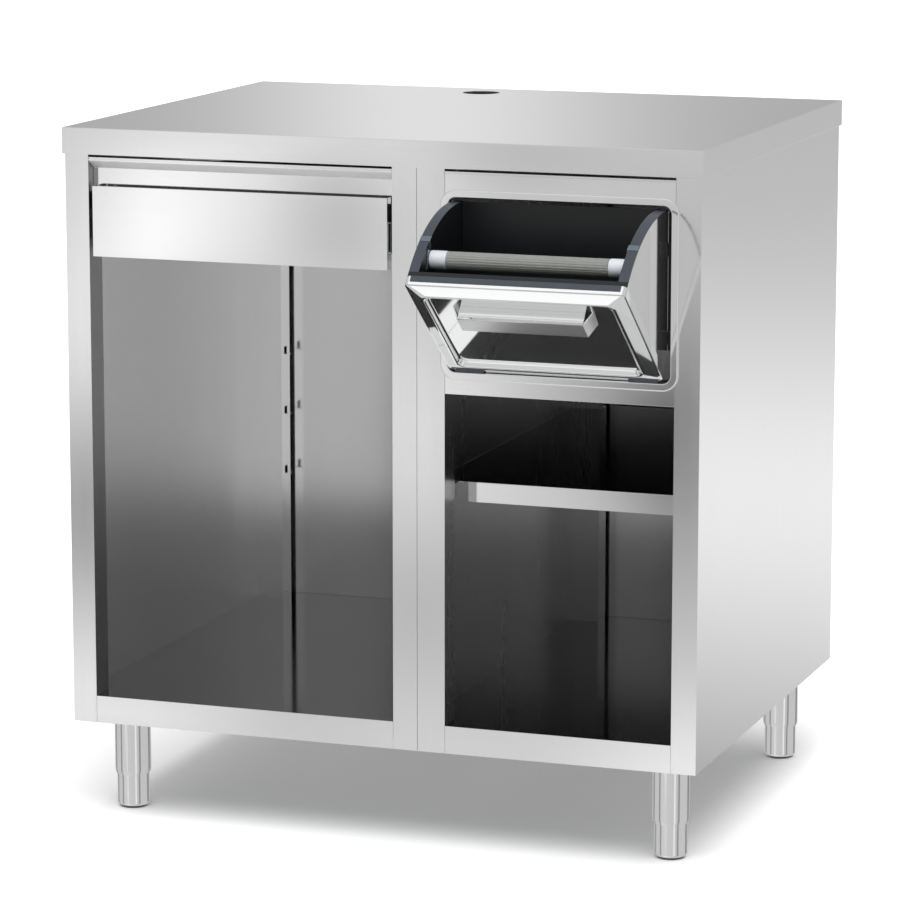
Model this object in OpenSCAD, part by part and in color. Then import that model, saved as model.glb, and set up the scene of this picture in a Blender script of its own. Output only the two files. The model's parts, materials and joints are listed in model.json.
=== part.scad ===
// Coffee machine cabinet: two folded-sheet modules under one worktop, on four adjustable legs.
// The left module holds a drawer over an open bay. The right one holds a tilt-out
// knock-out bin over an open bay with a loose shelf. Millimetres, +Z up, front towards -Y.

/* [Worktop] */
// Width of the worktop
top_w = 1000; // [850:1:1400]
// Depth of the worktop
top_d = 800; // [650:1:900]
// Height of the worktop's folded edge
top_h = 40; // [34:1:60]
// Sheet thickness of the worktop
top_sheet = 1.5; // [1:0.1:2.5]
// Width of the returns folded in under the worktop's edge
top_return = 18; // [14:1:30]
// Thickness of the board glued under the top sheet
board_t = 18; // [10:1:19]
// How far the worktop stands out past each side of the body
overhang_side = 3.5; // [1:0.5:12]
// How far the worktop stands out in front of and behind the body
overhang_front = 3; // [1:0.5:12]
// Diameter of the cable hole
cable_d = 60; // [30:1:90]
// Place of the cable hole across the worktop, from its centre line
cable_x = -87; // [-300:1:0]
// Distance of the cable hole's centre from the back edge
cable_back = 70; // [60:1:110]
// Depth of the collar folded down round the cable hole
collar_h = 24; // [15:1:30]

/* [Body] */
// Height from the floor to the top of the worktop
total_h = 1065; // [900:1:1150]
// Height from the floor to the underside of the body
leg_h = 150; // [140:1:200]
// Sheet thickness of the body
sheet = 1.2; // [0.8:0.1:2]
// Width of the left module
left_w = 561; // [480:1:620]
// Gap between the two modules
seam_gap = 0.6; // [0.2:0.1:2]
// Face width of the outer posts
post_outer = 38; // [30:1:50]
// Face width of the left module's inner post
post_mid_left = 38; // [30:1:50]
// Face width of the right module's inner post
post_mid_right = 43; // [34:1:50]
// Depth of the boxed front posts
post_depth = 45; // [35:1:55]
// Width of the flanges folded in along a wall's top
wall_flange = 25; // [21:1:30]
// Width of the folds along a wall's back edge
back_fold = 20; // [10:1:30]
// Height of the folded front edge of the bottom shelves
bottom_h = 42; // [36:1:60]
// Width of the small returns on shelves and rails
small_return = 18; // [8:1:25]
// Visible joint between folded pieces that meet edge to edge
joint_gap = 0.4; // [0.1:0.1:0.8]

/* [Rails] */
// Gap between a front rail's top and the worktop
rail_gap = 7; // [2:0.5:10]
// Depth of the front rails
rail_depth = 40; // [30:1:60]
// Height of the rear rails
rear_rail_h = 40; // [25:1:60]
// Depth of the rear rails
rear_rail_d = 30; // [20:1:34]
// Face height of the rail under the bin
hopper_rail_h = 32.8; // [25:0.1:60]

/* [Rear uprights] */
// Face width of a rear upright
upright_w = 47; // [25:1:60]
// Depth of a rear upright's slotted side
upright_d = 38; // [30:1:50]
// Gap between a rear upright and the back panel
upright_gap = 11; // [5:1:20]
// Height of the lowest support slot in the left module
slot_z_left = 412; // [300:1:450]
// Distance between support slots
slot_pitch = 102; // [60:1:150]
// Number of support slots in each upright
slot_count = 3; // [1:1:4]
// Height of a support slot
slot_h = 12; // [11:1:24]
// Width of a support slot
slot_w = 12; // [8:1:16]
// Reach of the tab bent out under each slot of a rear upright
slot_tab = 8; // [2:1:12]

/* [Loose shelf] */
// Height of the shelf's top face above the floor
shelf_z = 550; // [420:1:640]
// Height of the shelf's front fold
shelf_fold = 30; // [15:1:45]
// Distance of the shelf's front fold from the body's front
shelf_inset = 72; // [60:1:150]
// Clearance round the loose shelf
shelf_gap = 0.6; // [0.3:0.1:2]
// Width of a shelf clip
clip_w = 16; // [13:1:24]
// Thickness of a shelf clip
clip_t = 1.5; // [1:0.1:2.5]
// Length of a shelf clip's tongue
clip_reach = 50; // [40:1:70]

/* [Drawer] */
// Distance of the drawer front's lower edge under the worktop
drawer_drop = 153; // [148:1:185]
// Height of the drawer front
drawer_h = 106; // [90:1:120]
// Depth of the folded drawer front
drawer_fold = 16; // [13:1:20]
// How far the drawer front stands out past the body's front
drawer_proud = 2; // [0:0.5:5]
// Gap each side of the drawer front
drawer_gap = 7; // [2:0.1:10]
// Depth of the finger recess over the drawer front
recess_depth = 18; // [17:1:26]
// Height of the sloping lip over the recess
lip_h = 14; // [8:1:24]
// Length of the drawer box
box_len = 520; // [400:1:560]
// Height of the drawer box
box_h = 85; // [70:1:88]
// Distance of the drawer box's floor from the front's lower edge
box_lift = 8; // [4:1:10]
// Thickness of one telescopic runner
runner_t = 12.7; // [11:0.1:16]
// Height of the runner's outer member
runner_h = 45; // [40:1:50]
// Length of a runner
runner_len = 500; // [350:1:520]
// Running gap between the runner's members
runner_gap = 0.4; // [0.3:0.1:0.6]
// Sheet thickness of the runner's members
runner_sheet = 1.2; // [1:0.1:1.5]

/* [Bin frame] */
// Distance of the opening in the bin's frame from the post at each side
opening_side = 6; // [5.6:0.1:30]
// Height of the opening in the bin's frame
opening_h = 255.6; // [200:0.1:262]
// Distance of the opening's upper edge under the worktop
opening_drop = 41.8; // [32:0.1:70]
// Corner radius of the opening
opening_r = 12; // [8:1:18]
// Width of the frame's raised bead
bead_w = 12; // [8:1:14]
// Height of the frame's raised bead
bead_h = 4; // [3:0.5:6]
// Depth of the sleeve behind the bead
sleeve_d = 17; // [15:1:26]
// Height of the hinge axis over the opening's lower edge
hinge_up = 4.5; // [4.2:0.1:7]
// Distance of the hinge axis behind the body's front
hinge_back = 1; // [0:0.5:3]
// Diameter of the hinge pin
pin_d = 5; // [4:0.5:6]
// Radial clearance of the hinge pin in the bin's rolled edge
pin_gap = 0.05; // [0.02:0.01:0.1]
// Width of a hinge block
hinge_block_w = 44; // [25:1:60]

/* [Bin] */
// Mean gap between the bin's front and the opening at its two sides
bin_gap = 6.2; // [4.5:0.1:9]
// How far the bin hangs to the left of the opening's middle
bin_shift = 2.8; // [0:0.1:3.5]
// Gap between the closed bin's front and the opening's upper edge
bin_top_gap = 2; // [1.5:0.5:5]
// Angle of the open bin, from upright
bin_tilt = 52; // [35:1:56]
// Depth of the bin's folded front
bin_depth = 14; // [12:1:18]
// Outer corner radius of the bin's front
bin_r = 6; // [5:1:10]
// Width of the raised border round the bin's front
border_w = 24; // [10:1:30]
// Corner radius of the pressed field
field_r = 14; // [6:1:24]
// Depth of the pressed field
field_depth = 7; // [3:0.5:10]
// Gap between the side quadrants' rim and the round corners of the bin's front
quadrant_drop = 0.3; // [0.2:0.1:4]
// How far each stop flange reaches past the opening's side, behind the sleeve
stop_past = 3; // [2:0.1:4]
// Running gap at the bin's stops
stop_gap = 0.3; // [0.2:0.1:0.6]

/* [Handle] */
// Distance of the handle's grip from each side of the bin's front
handle_side = 70; // [52:1:100]
// Face height of the handle
handle_h = 32; // [20:1:40]
// Distance of the handle's upper edge from the bin front's upper edge
handle_drop = 53; // [30:1:80]
// Reach of the handle out of the pressed field
handle_reach = 30; // [24:1:36]
// Depth of the flanges folded back along the grip
handle_flange = 16; // [6:1:18]
// Sheet thickness of the handle
handle_t = 1.5; // [1:0.1:2.5]
// Slope of each handle leg, measured along the bin's front
handle_slope = 14; // [6:1:24]
// Length of each handle foot
handle_foot = 12; // [10:1:18]

/* [Tub and knock bar] */
// Wall thickness of the tub
tub_t = 3; // [2:0.5:4]
// Width of the tub's rim outside its side walls, up to the quadrants
tub_gap = 10; // [1:0.1:14]
// Distance of the tub's front wall behind the bin's front
tub_step = 7; // [1.7:0.1:10]
// Radius of the tub's rounded floor
tub_floor_r = 25; // [15:1:35]
// Thickness of the tub's rim
rim_t = 2; // [1.5:0.1:2.4]
// Depth of the knock bar's centre under the bin front's upper edge
knock_drop = 28; // [24:1:50]
// Angle of the knock bar behind the bin's front
knock_angle = 15.5; // [12:0.5:20]
// Diameter of the knock bar's steel core
knock_core_d = 14; // [10:1:18]
// Outer diameter of the knock bar's rubber sleeve
knock_sleeve_d = 26; // [22:1:36]
// Outer diameter of the end caps
cap_d = 27; // [20:1:30]
// Length of an end cap
cap_l = 26; // [12:1:34]
// Thickness of the knock bar's brackets
bracket_t = 1.2; // [0.8:0.1:2]
// Width of the straps that hang the brackets over the tub's rim
strap_w = 8; // [5:0.5:16]

/* [Legs] */
// Distance of a leg's axis from the body's side
leg_inset_x = 61; // [53:1:90]
// Distance of a leg's axis from the body's front or back
leg_inset_y = 83; // [83:1:130]
// Diameter of the leg tube
leg_d = 56; // [48:1:60]
// Wall thickness of the leg tube
leg_wall = 1.5; // [1:0.1:2.5]
// Height of the leg tube's lower end above the floor
foot_show = 54; // [48:1:60]
// Height of the taper at the leg tube's lower end
leg_taper = 7; // [4:1:14]
// Radial play of the adjustable foot inside the leg tube
foot_play = 1.5; // [1.1:0.1:4]
// Radius of the foot's lower edge
foot_round = 5; // [3:0.5:8]
// Radial gap between the foot and the end of the leg tube
foot_gap = 0.4; // [0.3:0.1:1]
// Length of the foot that is hidden in the leg tube
foot_inside = 26; // [26:1:30]
// Height of the glide under the foot
glide_h = 3; // [2:0.5:8]
// Diameter of the threaded stud
stud_d = 16; // [10:1:20]
// How far a foot screws in
foot_up = 15; // [5:1:15]
// How far a foot screws out
foot_down = 25; // [10:1:25]
// Thickness of a leg's flange plate
flange_t = 3; // [2:0.5:5]
// Width of the channels that carry the legs
channel_w = 70; // [66:1:90]
// Sheet thickness of the leg channels
channel_t = 2; // [1.5:0.5:3]

/* [Hidden] */
$fn = 64;

// Colours
steel = [0.80, 0.81, 0.82];
polished = [0.88, 0.89, 0.90];
bright = [0.93, 0.94, 0.95];
zinc = [0.62, 0.64, 0.66];
board_colour = [0.72, 0.60, 0.44];
plastic_black = [0.08, 0.09, 0.10];
plastic_dark = [0.20, 0.22, 0.25];
rubber_grey = [0.55, 0.56, 0.53];
nylon = [0.86, 0.87, 0.90];

// Small clearances
touch = 0.02;
strap_gap = 0.1;
bolt_gap = 0.2;
past = 1;

// The body's planes. Y is 0 at the worktop's front edge and X is 0 at its middle.
body_x0 = -top_w/2 + overhang_side;
body_x1 = top_w/2 - overhang_side;
body_y0 = overhang_front;
body_y1 = top_d - overhang_front;
body_z1 = total_h - top_h;
seam_x0 = body_x0 + left_w;
seam_x1 = seam_x0 + seam_gap;
left_in = [body_x0 + sheet, seam_x0 - sheet];
right_in = [seam_x1 + sheet, body_x1 - sheet];
left_open = [body_x0 + post_outer, seam_x0 - post_mid_left];
right_open = [seam_x1 + post_mid_right, body_x1 - post_outer];
post_back = body_y0 + post_depth;
back_y = body_y1 - sheet;
fold_y = back_y - sheet;
floor_z = leg_h + bottom_h;
rail_z = body_z1 - rail_gap;
upright_y = back_y - upright_gap - upright_d;

// Worktop
board_z = total_h - top_sheet - board_t;
stiffener_w = 60;
stiffener_ys = [0.22*top_d, 0.5*top_d, 0.74*top_d];
cable_y = top_d - cable_back;
rear_rail_y = fold_y - rear_rail_d;

// Shelf
slot_z_right = shelf_z - 20 - slot_pitch;
slot_seat = slot_z_right + slot_pitch - slot_h/2 + touch;
shelf_y = body_y0 + shelf_inset;
shelf_fold_inset = 12;
clip_drop = 36;
clip_hook = 4;

// Drawer
drawer_x = [left_open[0] + drawer_gap, left_open[1] - drawer_gap];
drawer_y = body_y0 - drawer_proud;
drawer_z = body_z1 - drawer_drop;
drawer_top = drawer_z + drawer_h;
drawer_back = drawer_y + drawer_fold;
recess_y = body_y0 + recess_depth;
box_x = [left_open[0] + runner_t, left_open[1] - runner_t];
box_z0 = drawer_z + box_lift;
box_z1 = box_z0 + box_h;
strip_z0 = box_z1 + 3;
runner_y = body_y0 + small_return + 1;
runner_z = box_z0 + box_h/2 - 5;
bracket_h = 60;
gutter_drop = 19;
hem_drop = 13;
hem_t = 4;
tab_w = 24;
box_rim = 8;

// Bin. Its own frame has the hinge axis as origin, and the closed front stands along +Z.
opening_x = (right_open[0] + right_open[1])/2;
bin_x = opening_x - bin_shift;
opening_w = right_open[1] - right_open[0] - 2*opening_side;
opening_z = body_z1 - opening_drop - opening_h;
hinge_y = body_y0 + hinge_back;
hinge_z = opening_z + hinge_up;
opening_top = opening_z + opening_h;
front_t = 1.2;
hem_r = pin_d/2 + pin_gap + 1.15;
bin_half = opening_w/2 - bin_gap;
bin_top = opening_h - hinge_up - bin_top_gap;
bin_low = hem_r + 2.3;
pan_back = bin_depth - hem_r;
quadrant_r = bin_top - bin_r - quadrant_drop;
quadrant_out = bin_half - front_t;
sleeve_back = body_y0 + sleeve_d - hinge_y;
stop_y = sleeve_back + stop_gap;
tub_half = quadrant_out - front_t - tub_gap;
tub_front = pan_back + tub_step;
tub_rear = stop_y - 1.8;
rim_r0 = quadrant_r + 0.3;
rim_r1 = rim_r0 + rim_t;
rim_half = bin_half - 0.5;
apex_z = (tub_front*cos(bin_tilt) - tub_rear)/sin(bin_tilt);
floor_reach = tub_floor_r/sin(bin_tilt/2);
tub_centre = [tub_front + floor_reach*sin(bin_tilt/2), apex_z + floor_reach*cos(bin_tilt/2)];
knock_r = bin_top - knock_drop;
knock_half = tub_half - tub_t - touch;
block_x1 = opening_w/2 - opening_r - bin_shift;
block_x0 = block_x1 - hinge_block_w;
block_r = 5;
hem_half = block_x0 - 1;
tab_h = 20;
field_y = -hem_r + field_depth;
handle_z1 = bin_top - handle_drop;
handle_y = field_y - handle_reach;
handle_l = 2*(bin_half - handle_side);

// Legs
leg_x = [body_x0 + leg_inset_x, body_x1 - leg_inset_x];
leg_y = [body_y0 + leg_inset_y, body_y1 - leg_inset_y];
leg_top = leg_h - flange_t;
foot_d = leg_d - 2*leg_wall - 2*foot_play;
foot_top = foot_show + foot_inside;
insert_z0 = foot_top + foot_up + 2;
insert_z1 = insert_z0 + 0.75*leg_d;
stud_top = leg_top - foot_up - 1;
leg_bolt = [38, 21];

// The bin's farthest reach in front of the worktop sets the origin under the middle.
tip_front = -hem_r;
reach_panel = -(tip_front*cos(bin_tilt) - bin_top*sin(bin_tilt)) - hinge_y;
reach_handle = -(handle_y*cos(bin_tilt) - handle_z1*sin(bin_tilt)) - hinge_y;
bin_reach = max(reach_panel, reach_handle);
origin_y = (top_d - bin_reach)/2;

// Helpers

// Puts the body's frame into the part's frame.
module placed() translate([0, -origin_y, 0]) children();

// A box between two corners.
module slab(from, to) translate(from) cube(to - from);

// A rectangle centred on X that stands on Y = 0, with round corners.
module round_rect(w, h, r) {
    translate([-w/2 + r, 0]) square([w - 2*r, h]);
    translate([-w/2, r]) square([w, h - 2*r]);
    for (x = [-w/2 + r, w/2 - r], y = [r, h - r]) translate([x, y]) circle(r);
}

// Extrudes a drawing made in X and Z from y0 back to y1.
module standing(y0, y1) translate([0, y1, 0]) rotate([90, 0, 0]) linear_extrude(y1 - y0) children();

// Extrudes a drawing made in Y and Z from x0 to x1.
module across(x0, x1) translate([x0, 0, 0]) rotate([90, 0, 90]) linear_extrude(x1 - x0) children();

// A cylinder along +X or +Y.
module rod_x(x0, x1, r) translate([x0, 0, 0]) rotate([0, 90, 0]) cylinder(h = x1 - x0, r = r);
module rod_y(y0, y1, r) translate([0, y0, 0]) rotate([-90, 0, 0]) cylinder(h = y1 - y0, r = r);

// Copies to the plan position of each leg.
module each_leg() for (x = leg_x, y = leg_y) translate([x, y, 0]) children();

// Mirrors a piece of the left module's runner side onto the module's right side.
module both_runner_sides() {
    middle = (left_open[0] + left_open[1])/2;
    children();
    translate([2*middle, 0, 0]) mirror([1, 0, 0]) children();
}

// Mirrors a piece about the bin's middle.
module both_bin_sides() for (side = [0, 1]) mirror([side, 0, 0]) children();

// Puts the bin's own frame in place, upright or open.
module at_hinge() placed() translate([bin_x, hinge_y, hinge_z]) children();
module open_bin() at_hinge() rotate([bin_tilt, 0, 0]) children();

// Puts the knock bar's radius along +Z of its own frame.
module at_knock() open_bin() rotate([-knock_angle, 0, 0]) translate([0, 0, knock_r]) children();

// Worktop

module worktop() color(steel) placed() {
    inner = [top_w/2 - top_sheet, top_sheet, top_d - top_sheet];
    mouth = [inner[0] - top_return, inner[1] + top_return, inner[2] - top_return];
    difference() {
        slab([-top_w/2, 0, body_z1], [top_w/2, top_d, total_h]);
        slab([-inner[0], inner[1], body_z1 + top_sheet], [inner[0], inner[2], total_h - top_sheet]);
        slab([-mouth[0], mouth[1], body_z1 - past], [mouth[0], mouth[2], body_z1 + 2*top_sheet]);
        translate([cable_x, cable_y, board_z - past]) cylinder(h = top_h, d = cable_d);
    }
    translate([cable_x, cable_y, total_h - collar_h]) difference() {
        cylinder(h = collar_h, r = cable_d/2 + top_sheet);
        translate([0, 0, -past]) cylinder(h = collar_h + 2*past, d = cable_d);
    }
}

module worktop_board() color(board_colour) placed() difference() {
    edge = top_sheet + 0.5;
    slab([-top_w/2 + edge, edge, board_z], [top_w/2 - edge, top_d - edge, board_z + board_t]);
    translate([cable_x, cable_y, board_z - past])
        cylinder(h = board_t + 2*past, r = cable_d/2 + top_sheet + bolt_gap);
}

// Hat channels glued under the board, open at the top.
module worktop_stiffeners() color(zinc) placed() {
    h = board_z - body_z1 - top_sheet - 0.5;
    half = top_w/2 - top_sheet - top_return - 2;
    brim = 12;
    for (y = stiffener_ys) translate([0, y, board_z - h]) difference() {
        union() {
            slab([-half, -stiffener_w/2, 0], [half, stiffener_w/2, h]);
            slab([-half, -stiffener_w/2 - brim, h - sheet], [half, stiffener_w/2 + brim, h]);
        }
        slab([-half - past, -stiffener_w/2 + sheet, sheet], [half + past, stiffener_w/2 - sheet, h + past]);
    }
}

// Walls

// A wall with its boxed front post, drawn from its outer face inwards along +X.
module wall_profile(post_w) {
    square_y = body_y1 - body_y0;
    translate([0, body_y0]) {
        square([sheet, square_y - sheet]);
        square([post_w, sheet]);
        translate([post_w - sheet, 0]) square([sheet, post_depth]);
        translate([sheet, post_depth - sheet]) square([post_w - sheet, sheet]);
    }
    translate([0, fold_y]) square([back_fold, sheet]);
}

module wall(post_w, slot_z) difference() {
    union() {
        translate([0, 0, leg_h]) linear_extrude(body_z1 - leg_h) wall_profile(post_w);
        slab([0, post_back, body_z1 - sheet], [wall_flange, fold_y, body_z1]);
    }
    if (slot_z > 0) for (i = [0 : slot_count - 1])
        slab([post_w - slot_w - 6, post_back - 2*sheet, slot_z + i*slot_pitch - slot_h/2],
             [post_w - 6, post_back + past, slot_z + i*slot_pitch + slot_h/2]);
}

// Holes for the bolts between the modules and for the bolts up into the worktop.
module seam_bolt_places() for (y = [seam_bolt_in, fold_y - seam_bolt_in], z = [leg_h + 9, rail_z - 12])
    translate([0, y, z]) children();
module top_bolt_places(x) for (y = [top_bolt_in, top_d/2, top_d - top_bolt_in])
    translate([x, y, 0]) children();
top_bolt_x = (body_x1 - sheet + top_w/2 - top_sheet - top_return)/2;
seam_bolt_in = 160;
seam_bolt_r = 4;
top_bolt_in = 110;
top_bolt_r = 2.5;

module side_panel_left() color(steel) placed() difference() {
    translate([body_x0, 0, 0]) wall(post_outer, 0);
    top_bolt_places(-top_bolt_x) translate([0, 0, body_z1 - 5]) cylinder(h = 10, r = top_bolt_r + bolt_gap);
}

module partition_left() color(steel) placed() difference() {
    translate([seam_x0, 0, 0]) mirror([1, 0, 0]) wall(post_mid_left, 0);
    seam_bolt_places() rod_x(seam_x0 - 10, seam_x0 + 10, seam_bolt_r + bolt_gap);
}

module partition_right() color(steel) placed() difference() {
    translate([seam_x1, 0, 0]) wall(post_mid_right, slot_z_right);
    seam_bolt_places() rod_x(seam_x1 - 10, seam_x1 + 10, seam_bolt_r + bolt_gap);
}

module side_panel_right() color(steel) placed() difference() {
    translate([body_x1, 0, 0]) mirror([1, 0, 0]) wall(post_outer, slot_z_right);
    top_bolt_places(top_bolt_x) translate([0, 0, body_z1 - 5]) cylinder(h = 10, r = top_bolt_r + bolt_gap);
}

// A C-shaped upright in a back corner, with lanced slots down its side.
module rear_upright(slot_z) difference() {
    slot_y = upright_y + upright_d/2;
    slot_bottoms = [for (i = [0 : slot_count - 1]) slot_z + i*slot_pitch - slot_h/2];
    union() {
        translate([0, upright_y, floor_z]) linear_extrude(rail_z - floor_z - rear_rail_h) {
            square([sheet, upright_d - 8]);
            square([upright_w, sheet]);
            translate([upright_w - sheet, 0]) square([sheet, upright_d]);
            translate([upright_w - small_return, upright_d - sheet]) square([small_return, sheet]);
        }
        for (z = slot_bottoms) slab([upright_w - sheet, slot_y - slot_w/2, z - sheet],
            [upright_w + slot_tab, slot_y + slot_w/2, z]);
    }
    for (z = slot_bottoms) slab([upright_w - 2*sheet, slot_y - slot_w/2, z],
        [upright_w + slot_tab + past, slot_y + slot_w/2, z + slot_h]);
}

module upright_pair(span, slot_z) color(steel) placed() {
    translate([span[0], 0, 0]) rear_upright(slot_z);
    translate([span[1], 0, 0]) mirror([1, 0, 0]) rear_upright(slot_z);
}
module rear_uprights_left() upright_pair(left_in, slot_z_left);
module rear_uprights_right() upright_pair(right_in, slot_z_right);

module back_panel(x0, x1) color(steel) placed()
    slab([x0 + joint_gap, back_y, leg_h], [x1 - joint_gap, body_y1, body_z1]);
module back_panel_left() back_panel(body_x0, seam_x0);
module back_panel_right() back_panel(seam_x1, body_x1);

// A folded bottom shelf: floor, front edge with its return, and folds down the sides and back.
module bottom_shelf(span, mouth) color(steel) placed() {
    fold = 25;
    x0 = mouth[0] + joint_gap;
    x1 = mouth[1] - joint_gap;
    slab([x0, body_y0, floor_z - sheet], [x1, post_back + joint_gap + past, floor_z]);
    slab([span[0], post_back + joint_gap, floor_z - sheet], [span[1], fold_y, floor_z]);
    slab([x0, body_y0, leg_h], [x1, body_y0 + sheet, floor_z]);
    slab([x0, body_y0, leg_h], [x1, body_y0 + small_return, leg_h + sheet]);
    slab([span[0], fold_y - sheet, leg_h], [span[1], fold_y, floor_z]);
    for (x = [span[0], span[1] - sheet])
        slab([x, post_back + joint_gap, floor_z - fold], [x + sheet, fold_y, floor_z]);
}
module bottom_shelf_left() bottom_shelf(left_in, left_open);
module bottom_shelf_right() bottom_shelf(right_in, right_open);

// Channels under the floors that carry the legs.
module leg_channels() color(zinc) placed() for (span = [left_in, right_in], y = leg_y) difference() {
    x0 = span[0] + sheet;
    x1 = span[1] - sheet;
    slab([x0, y - channel_w/2, leg_h], [x1, y + channel_w/2, floor_z - sheet]);
    slab([x0 - past, y - channel_w/2 + channel_t, leg_h + channel_t],
         [x1 + past, y + channel_w/2 - channel_t, floor_z]);
    for (x = leg_x, dx = [-leg_bolt[0], leg_bolt[0]], dy = [-leg_bolt[1], leg_bolt[1]])
        translate([x + dx, y + dy, leg_h - past]) cylinder(h = channel_t + 2*past, r = 3 + bolt_gap);
}

// Rails

// The rail over the drawer: top return, sloping lip, recessed strip and lower return.
module drawer_rail() color(polished) placed() {
    lip_z = rail_z - lip_h;
    across(left_open[0] + joint_gap, left_open[1] - joint_gap) polygon([
        [body_y0 + rail_depth, rail_z], [body_y0, rail_z], [body_y0, rail_z - 2],
        [recess_y, lip_z], [recess_y, strip_z0], [body_y0 + rail_depth, strip_z0],
        [body_y0 + rail_depth, strip_z0 + sheet], [recess_y + sheet, strip_z0 + sheet],
        [recess_y + sheet, lip_z + 0.6], [body_y0 + 2.6, rail_z - sheet],
        [body_y0 + rail_depth, rail_z - sheet]]);
}

// A front rail: face with a return at the top and at the bottom.
module front_rail(mouth, z0, z1) {
    x0 = mouth[0] + joint_gap;
    x1 = mouth[1] - joint_gap;
    slab([x0, body_y0, z0], [x1, body_y0 + sheet, z1]);
    slab([x0, body_y0, z0], [x1, body_y0 + rail_depth, z0 + sheet]);
    slab([x0, body_y0, z1 - sheet], [x1, body_y0 + rail_depth, z1]);
}
frame_screw_xs = [-opening_w/2 + 56, opening_w/2 - 56];
frame_screw_y = body_y0 + sleeve_d - 5;
module frame_screw_places() for (x = frame_screw_xs) translate([opening_x + x, frame_screw_y, 0]) children();

module top_rail_right() color(polished) placed() difference() {
    front_rail(right_open, opening_top + sheet, rail_z);
    frame_screw_places() translate([0, 0, opening_top]) cylinder(h = 5, r = 1.5 + bolt_gap);
}

module hopper_rail() color(polished) placed() difference() {
    front_rail(right_open, opening_z - sheet - hopper_rail_h, opening_z - sheet);
    frame_screw_places() translate([0, 0, opening_z - 5]) cylinder(h = 5, r = 1.5 + bolt_gap);
}

// Channels across the back that carry the worktop.
module rear_rails() color(steel) placed() for (span = [left_in, right_in]) {
    x0 = span[0] + wall_flange;
    x1 = span[1] - wall_flange;
    z0 = body_z1 - rear_rail_h;
    slab([x0, fold_y - sheet, z0], [x1, fold_y, body_z1]);
    slab([x0, rear_rail_y, body_z1 - sheet], [x1, fold_y, body_z1]);
    slab([x0, rear_rail_y, z0], [x1, fold_y, z0 + sheet]);
    slab([x0, rear_rail_y, z0], [x1, rear_rail_y + sheet, z0 + 12]);
    for (x = [x0, x1 - sheet]) slab([x, rear_rail_y, z0], [x + sheet, fold_y, body_z1]);
}

// Runners

// The bracket behind a front post that carries the runner at the post's plane.
module runner_bracket() {
    half = bracket_h/2;
    y1 = runner_y + runner_len*1.06;
    foot = 12;
    x0 = left_in[0];
    x1 = left_open[0];
    difference() {
        union() {
            slab([x1 - sheet, post_back, runner_z - half], [x1, y1, runner_z + half]);
            for (z = [-half, half - sheet])
                slab([x0, post_back, runner_z + z], [x1, y1, runner_z + z + sheet]);
            for (z = [-half - foot + sheet, half - sheet])
                slab([x0, post_back, runner_z + z], [x0 + sheet, y1, runner_z + z + foot]);
        }
        runner_screw_places() rod_x(x1 - 5, x1 + 5, 2 + bolt_gap);
    }
}
module runner_screw_places() for (y = [0.16*runner_len, runner_len/2, 0.92*runner_len])
    translate([0, runner_y + y, runner_z]) children();

module runner_brackets() color(zinc) placed() both_runner_sides() runner_bracket();

// One runner member: a web with a flange folded at its top and bottom.
module runner_channel(x_web, x_tip, half, y0, y1) {
    low = min(x_web, x_tip);
    high = max(x_web, x_tip);
    web = x_tip > x_web ? x_web : x_web - runner_sheet;
    slab([web, y0, -half], [web + runner_sheet, y1, half]);
    for (z = [-half, half - runner_sheet]) slab([low, y0, z], [high, y1, z + runner_sheet]);
}
outer_half = runner_h/2;
middle_half = outer_half - runner_sheet - runner_gap;
inner_half = middle_half - runner_sheet - runner_gap;
middle_x = left_open[0] + runner_sheet + 2.8;

module runner_outers() color(zinc) placed() both_runner_sides() difference() {
    translate([0, 0, runner_z]) runner_channel(left_open[0], left_open[0] + 9, outer_half,
        runner_y, runner_y + runner_len);
    runner_screw_places() rod_x(left_open[0] - 5, left_open[0] + 5, 2 + bolt_gap);
}

module runner_stops() color(plastic_black) placed() both_runner_sides()
    translate([0, 0, runner_z]) slab([left_open[0] + runner_sheet, runner_y + runner_len - 6,
        -outer_half + runner_sheet], [left_open[0] + 9, runner_y + runner_len, outer_half - runner_sheet]);

module runner_middles() color(zinc) placed() both_runner_sides() translate([0, 0, runner_z])
    runner_channel(middle_x, middle_x + 6.4, middle_half, runner_y + 2, runner_y + runner_len - 8);

module runner_inners() color(zinc) placed() both_runner_sides() translate([0, 0, runner_z])
    runner_channel(box_x[0], middle_x + 2.4, inner_half, runner_y, runner_y + runner_len - 6.3);

// Drawer

module drawer_screw_places() for (x = [box_x[0] + sheet + 7, box_x[1] - sheet - 7],
    z = [box_z0 + 14, box_z1 - 30]) translate([x, 0, z]) children();

// The folded front, with a hemmed upper edge over a finger gutter.
module drawer_front() color(polished) placed() difference() {
    x0 = drawer_x[0];
    x1 = drawer_x[1];
    union() {
        slab([x0, drawer_y, drawer_z], [x1, drawer_y + sheet, drawer_top]);
        slab([x0, drawer_y, drawer_top - sheet], [x1, drawer_y + hem_t, drawer_top]);
        slab([x0, drawer_y + hem_t - sheet, drawer_top - hem_drop], [x1, drawer_y + hem_t, drawer_top]);
        slab([x0, drawer_y, drawer_z], [x1, drawer_back, drawer_z + sheet]);
        slab([x0, drawer_y, drawer_top - gutter_drop], [x1, drawer_back, drawer_top - gutter_drop + sheet]);
        for (x = [x0, x1 - sheet]) slab([x, drawer_y, drawer_z], [x + sheet, drawer_back, drawer_top]);
        for (x = [x0, x1 - tab_w - sheet]) slab([x, drawer_back - sheet, drawer_z],
            [x + tab_w + sheet, drawer_back, drawer_top - gutter_drop]);
    }
    drawer_screw_places() rod_y(drawer_back - 5, drawer_back + 5, 2 + bolt_gap);
}

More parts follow.
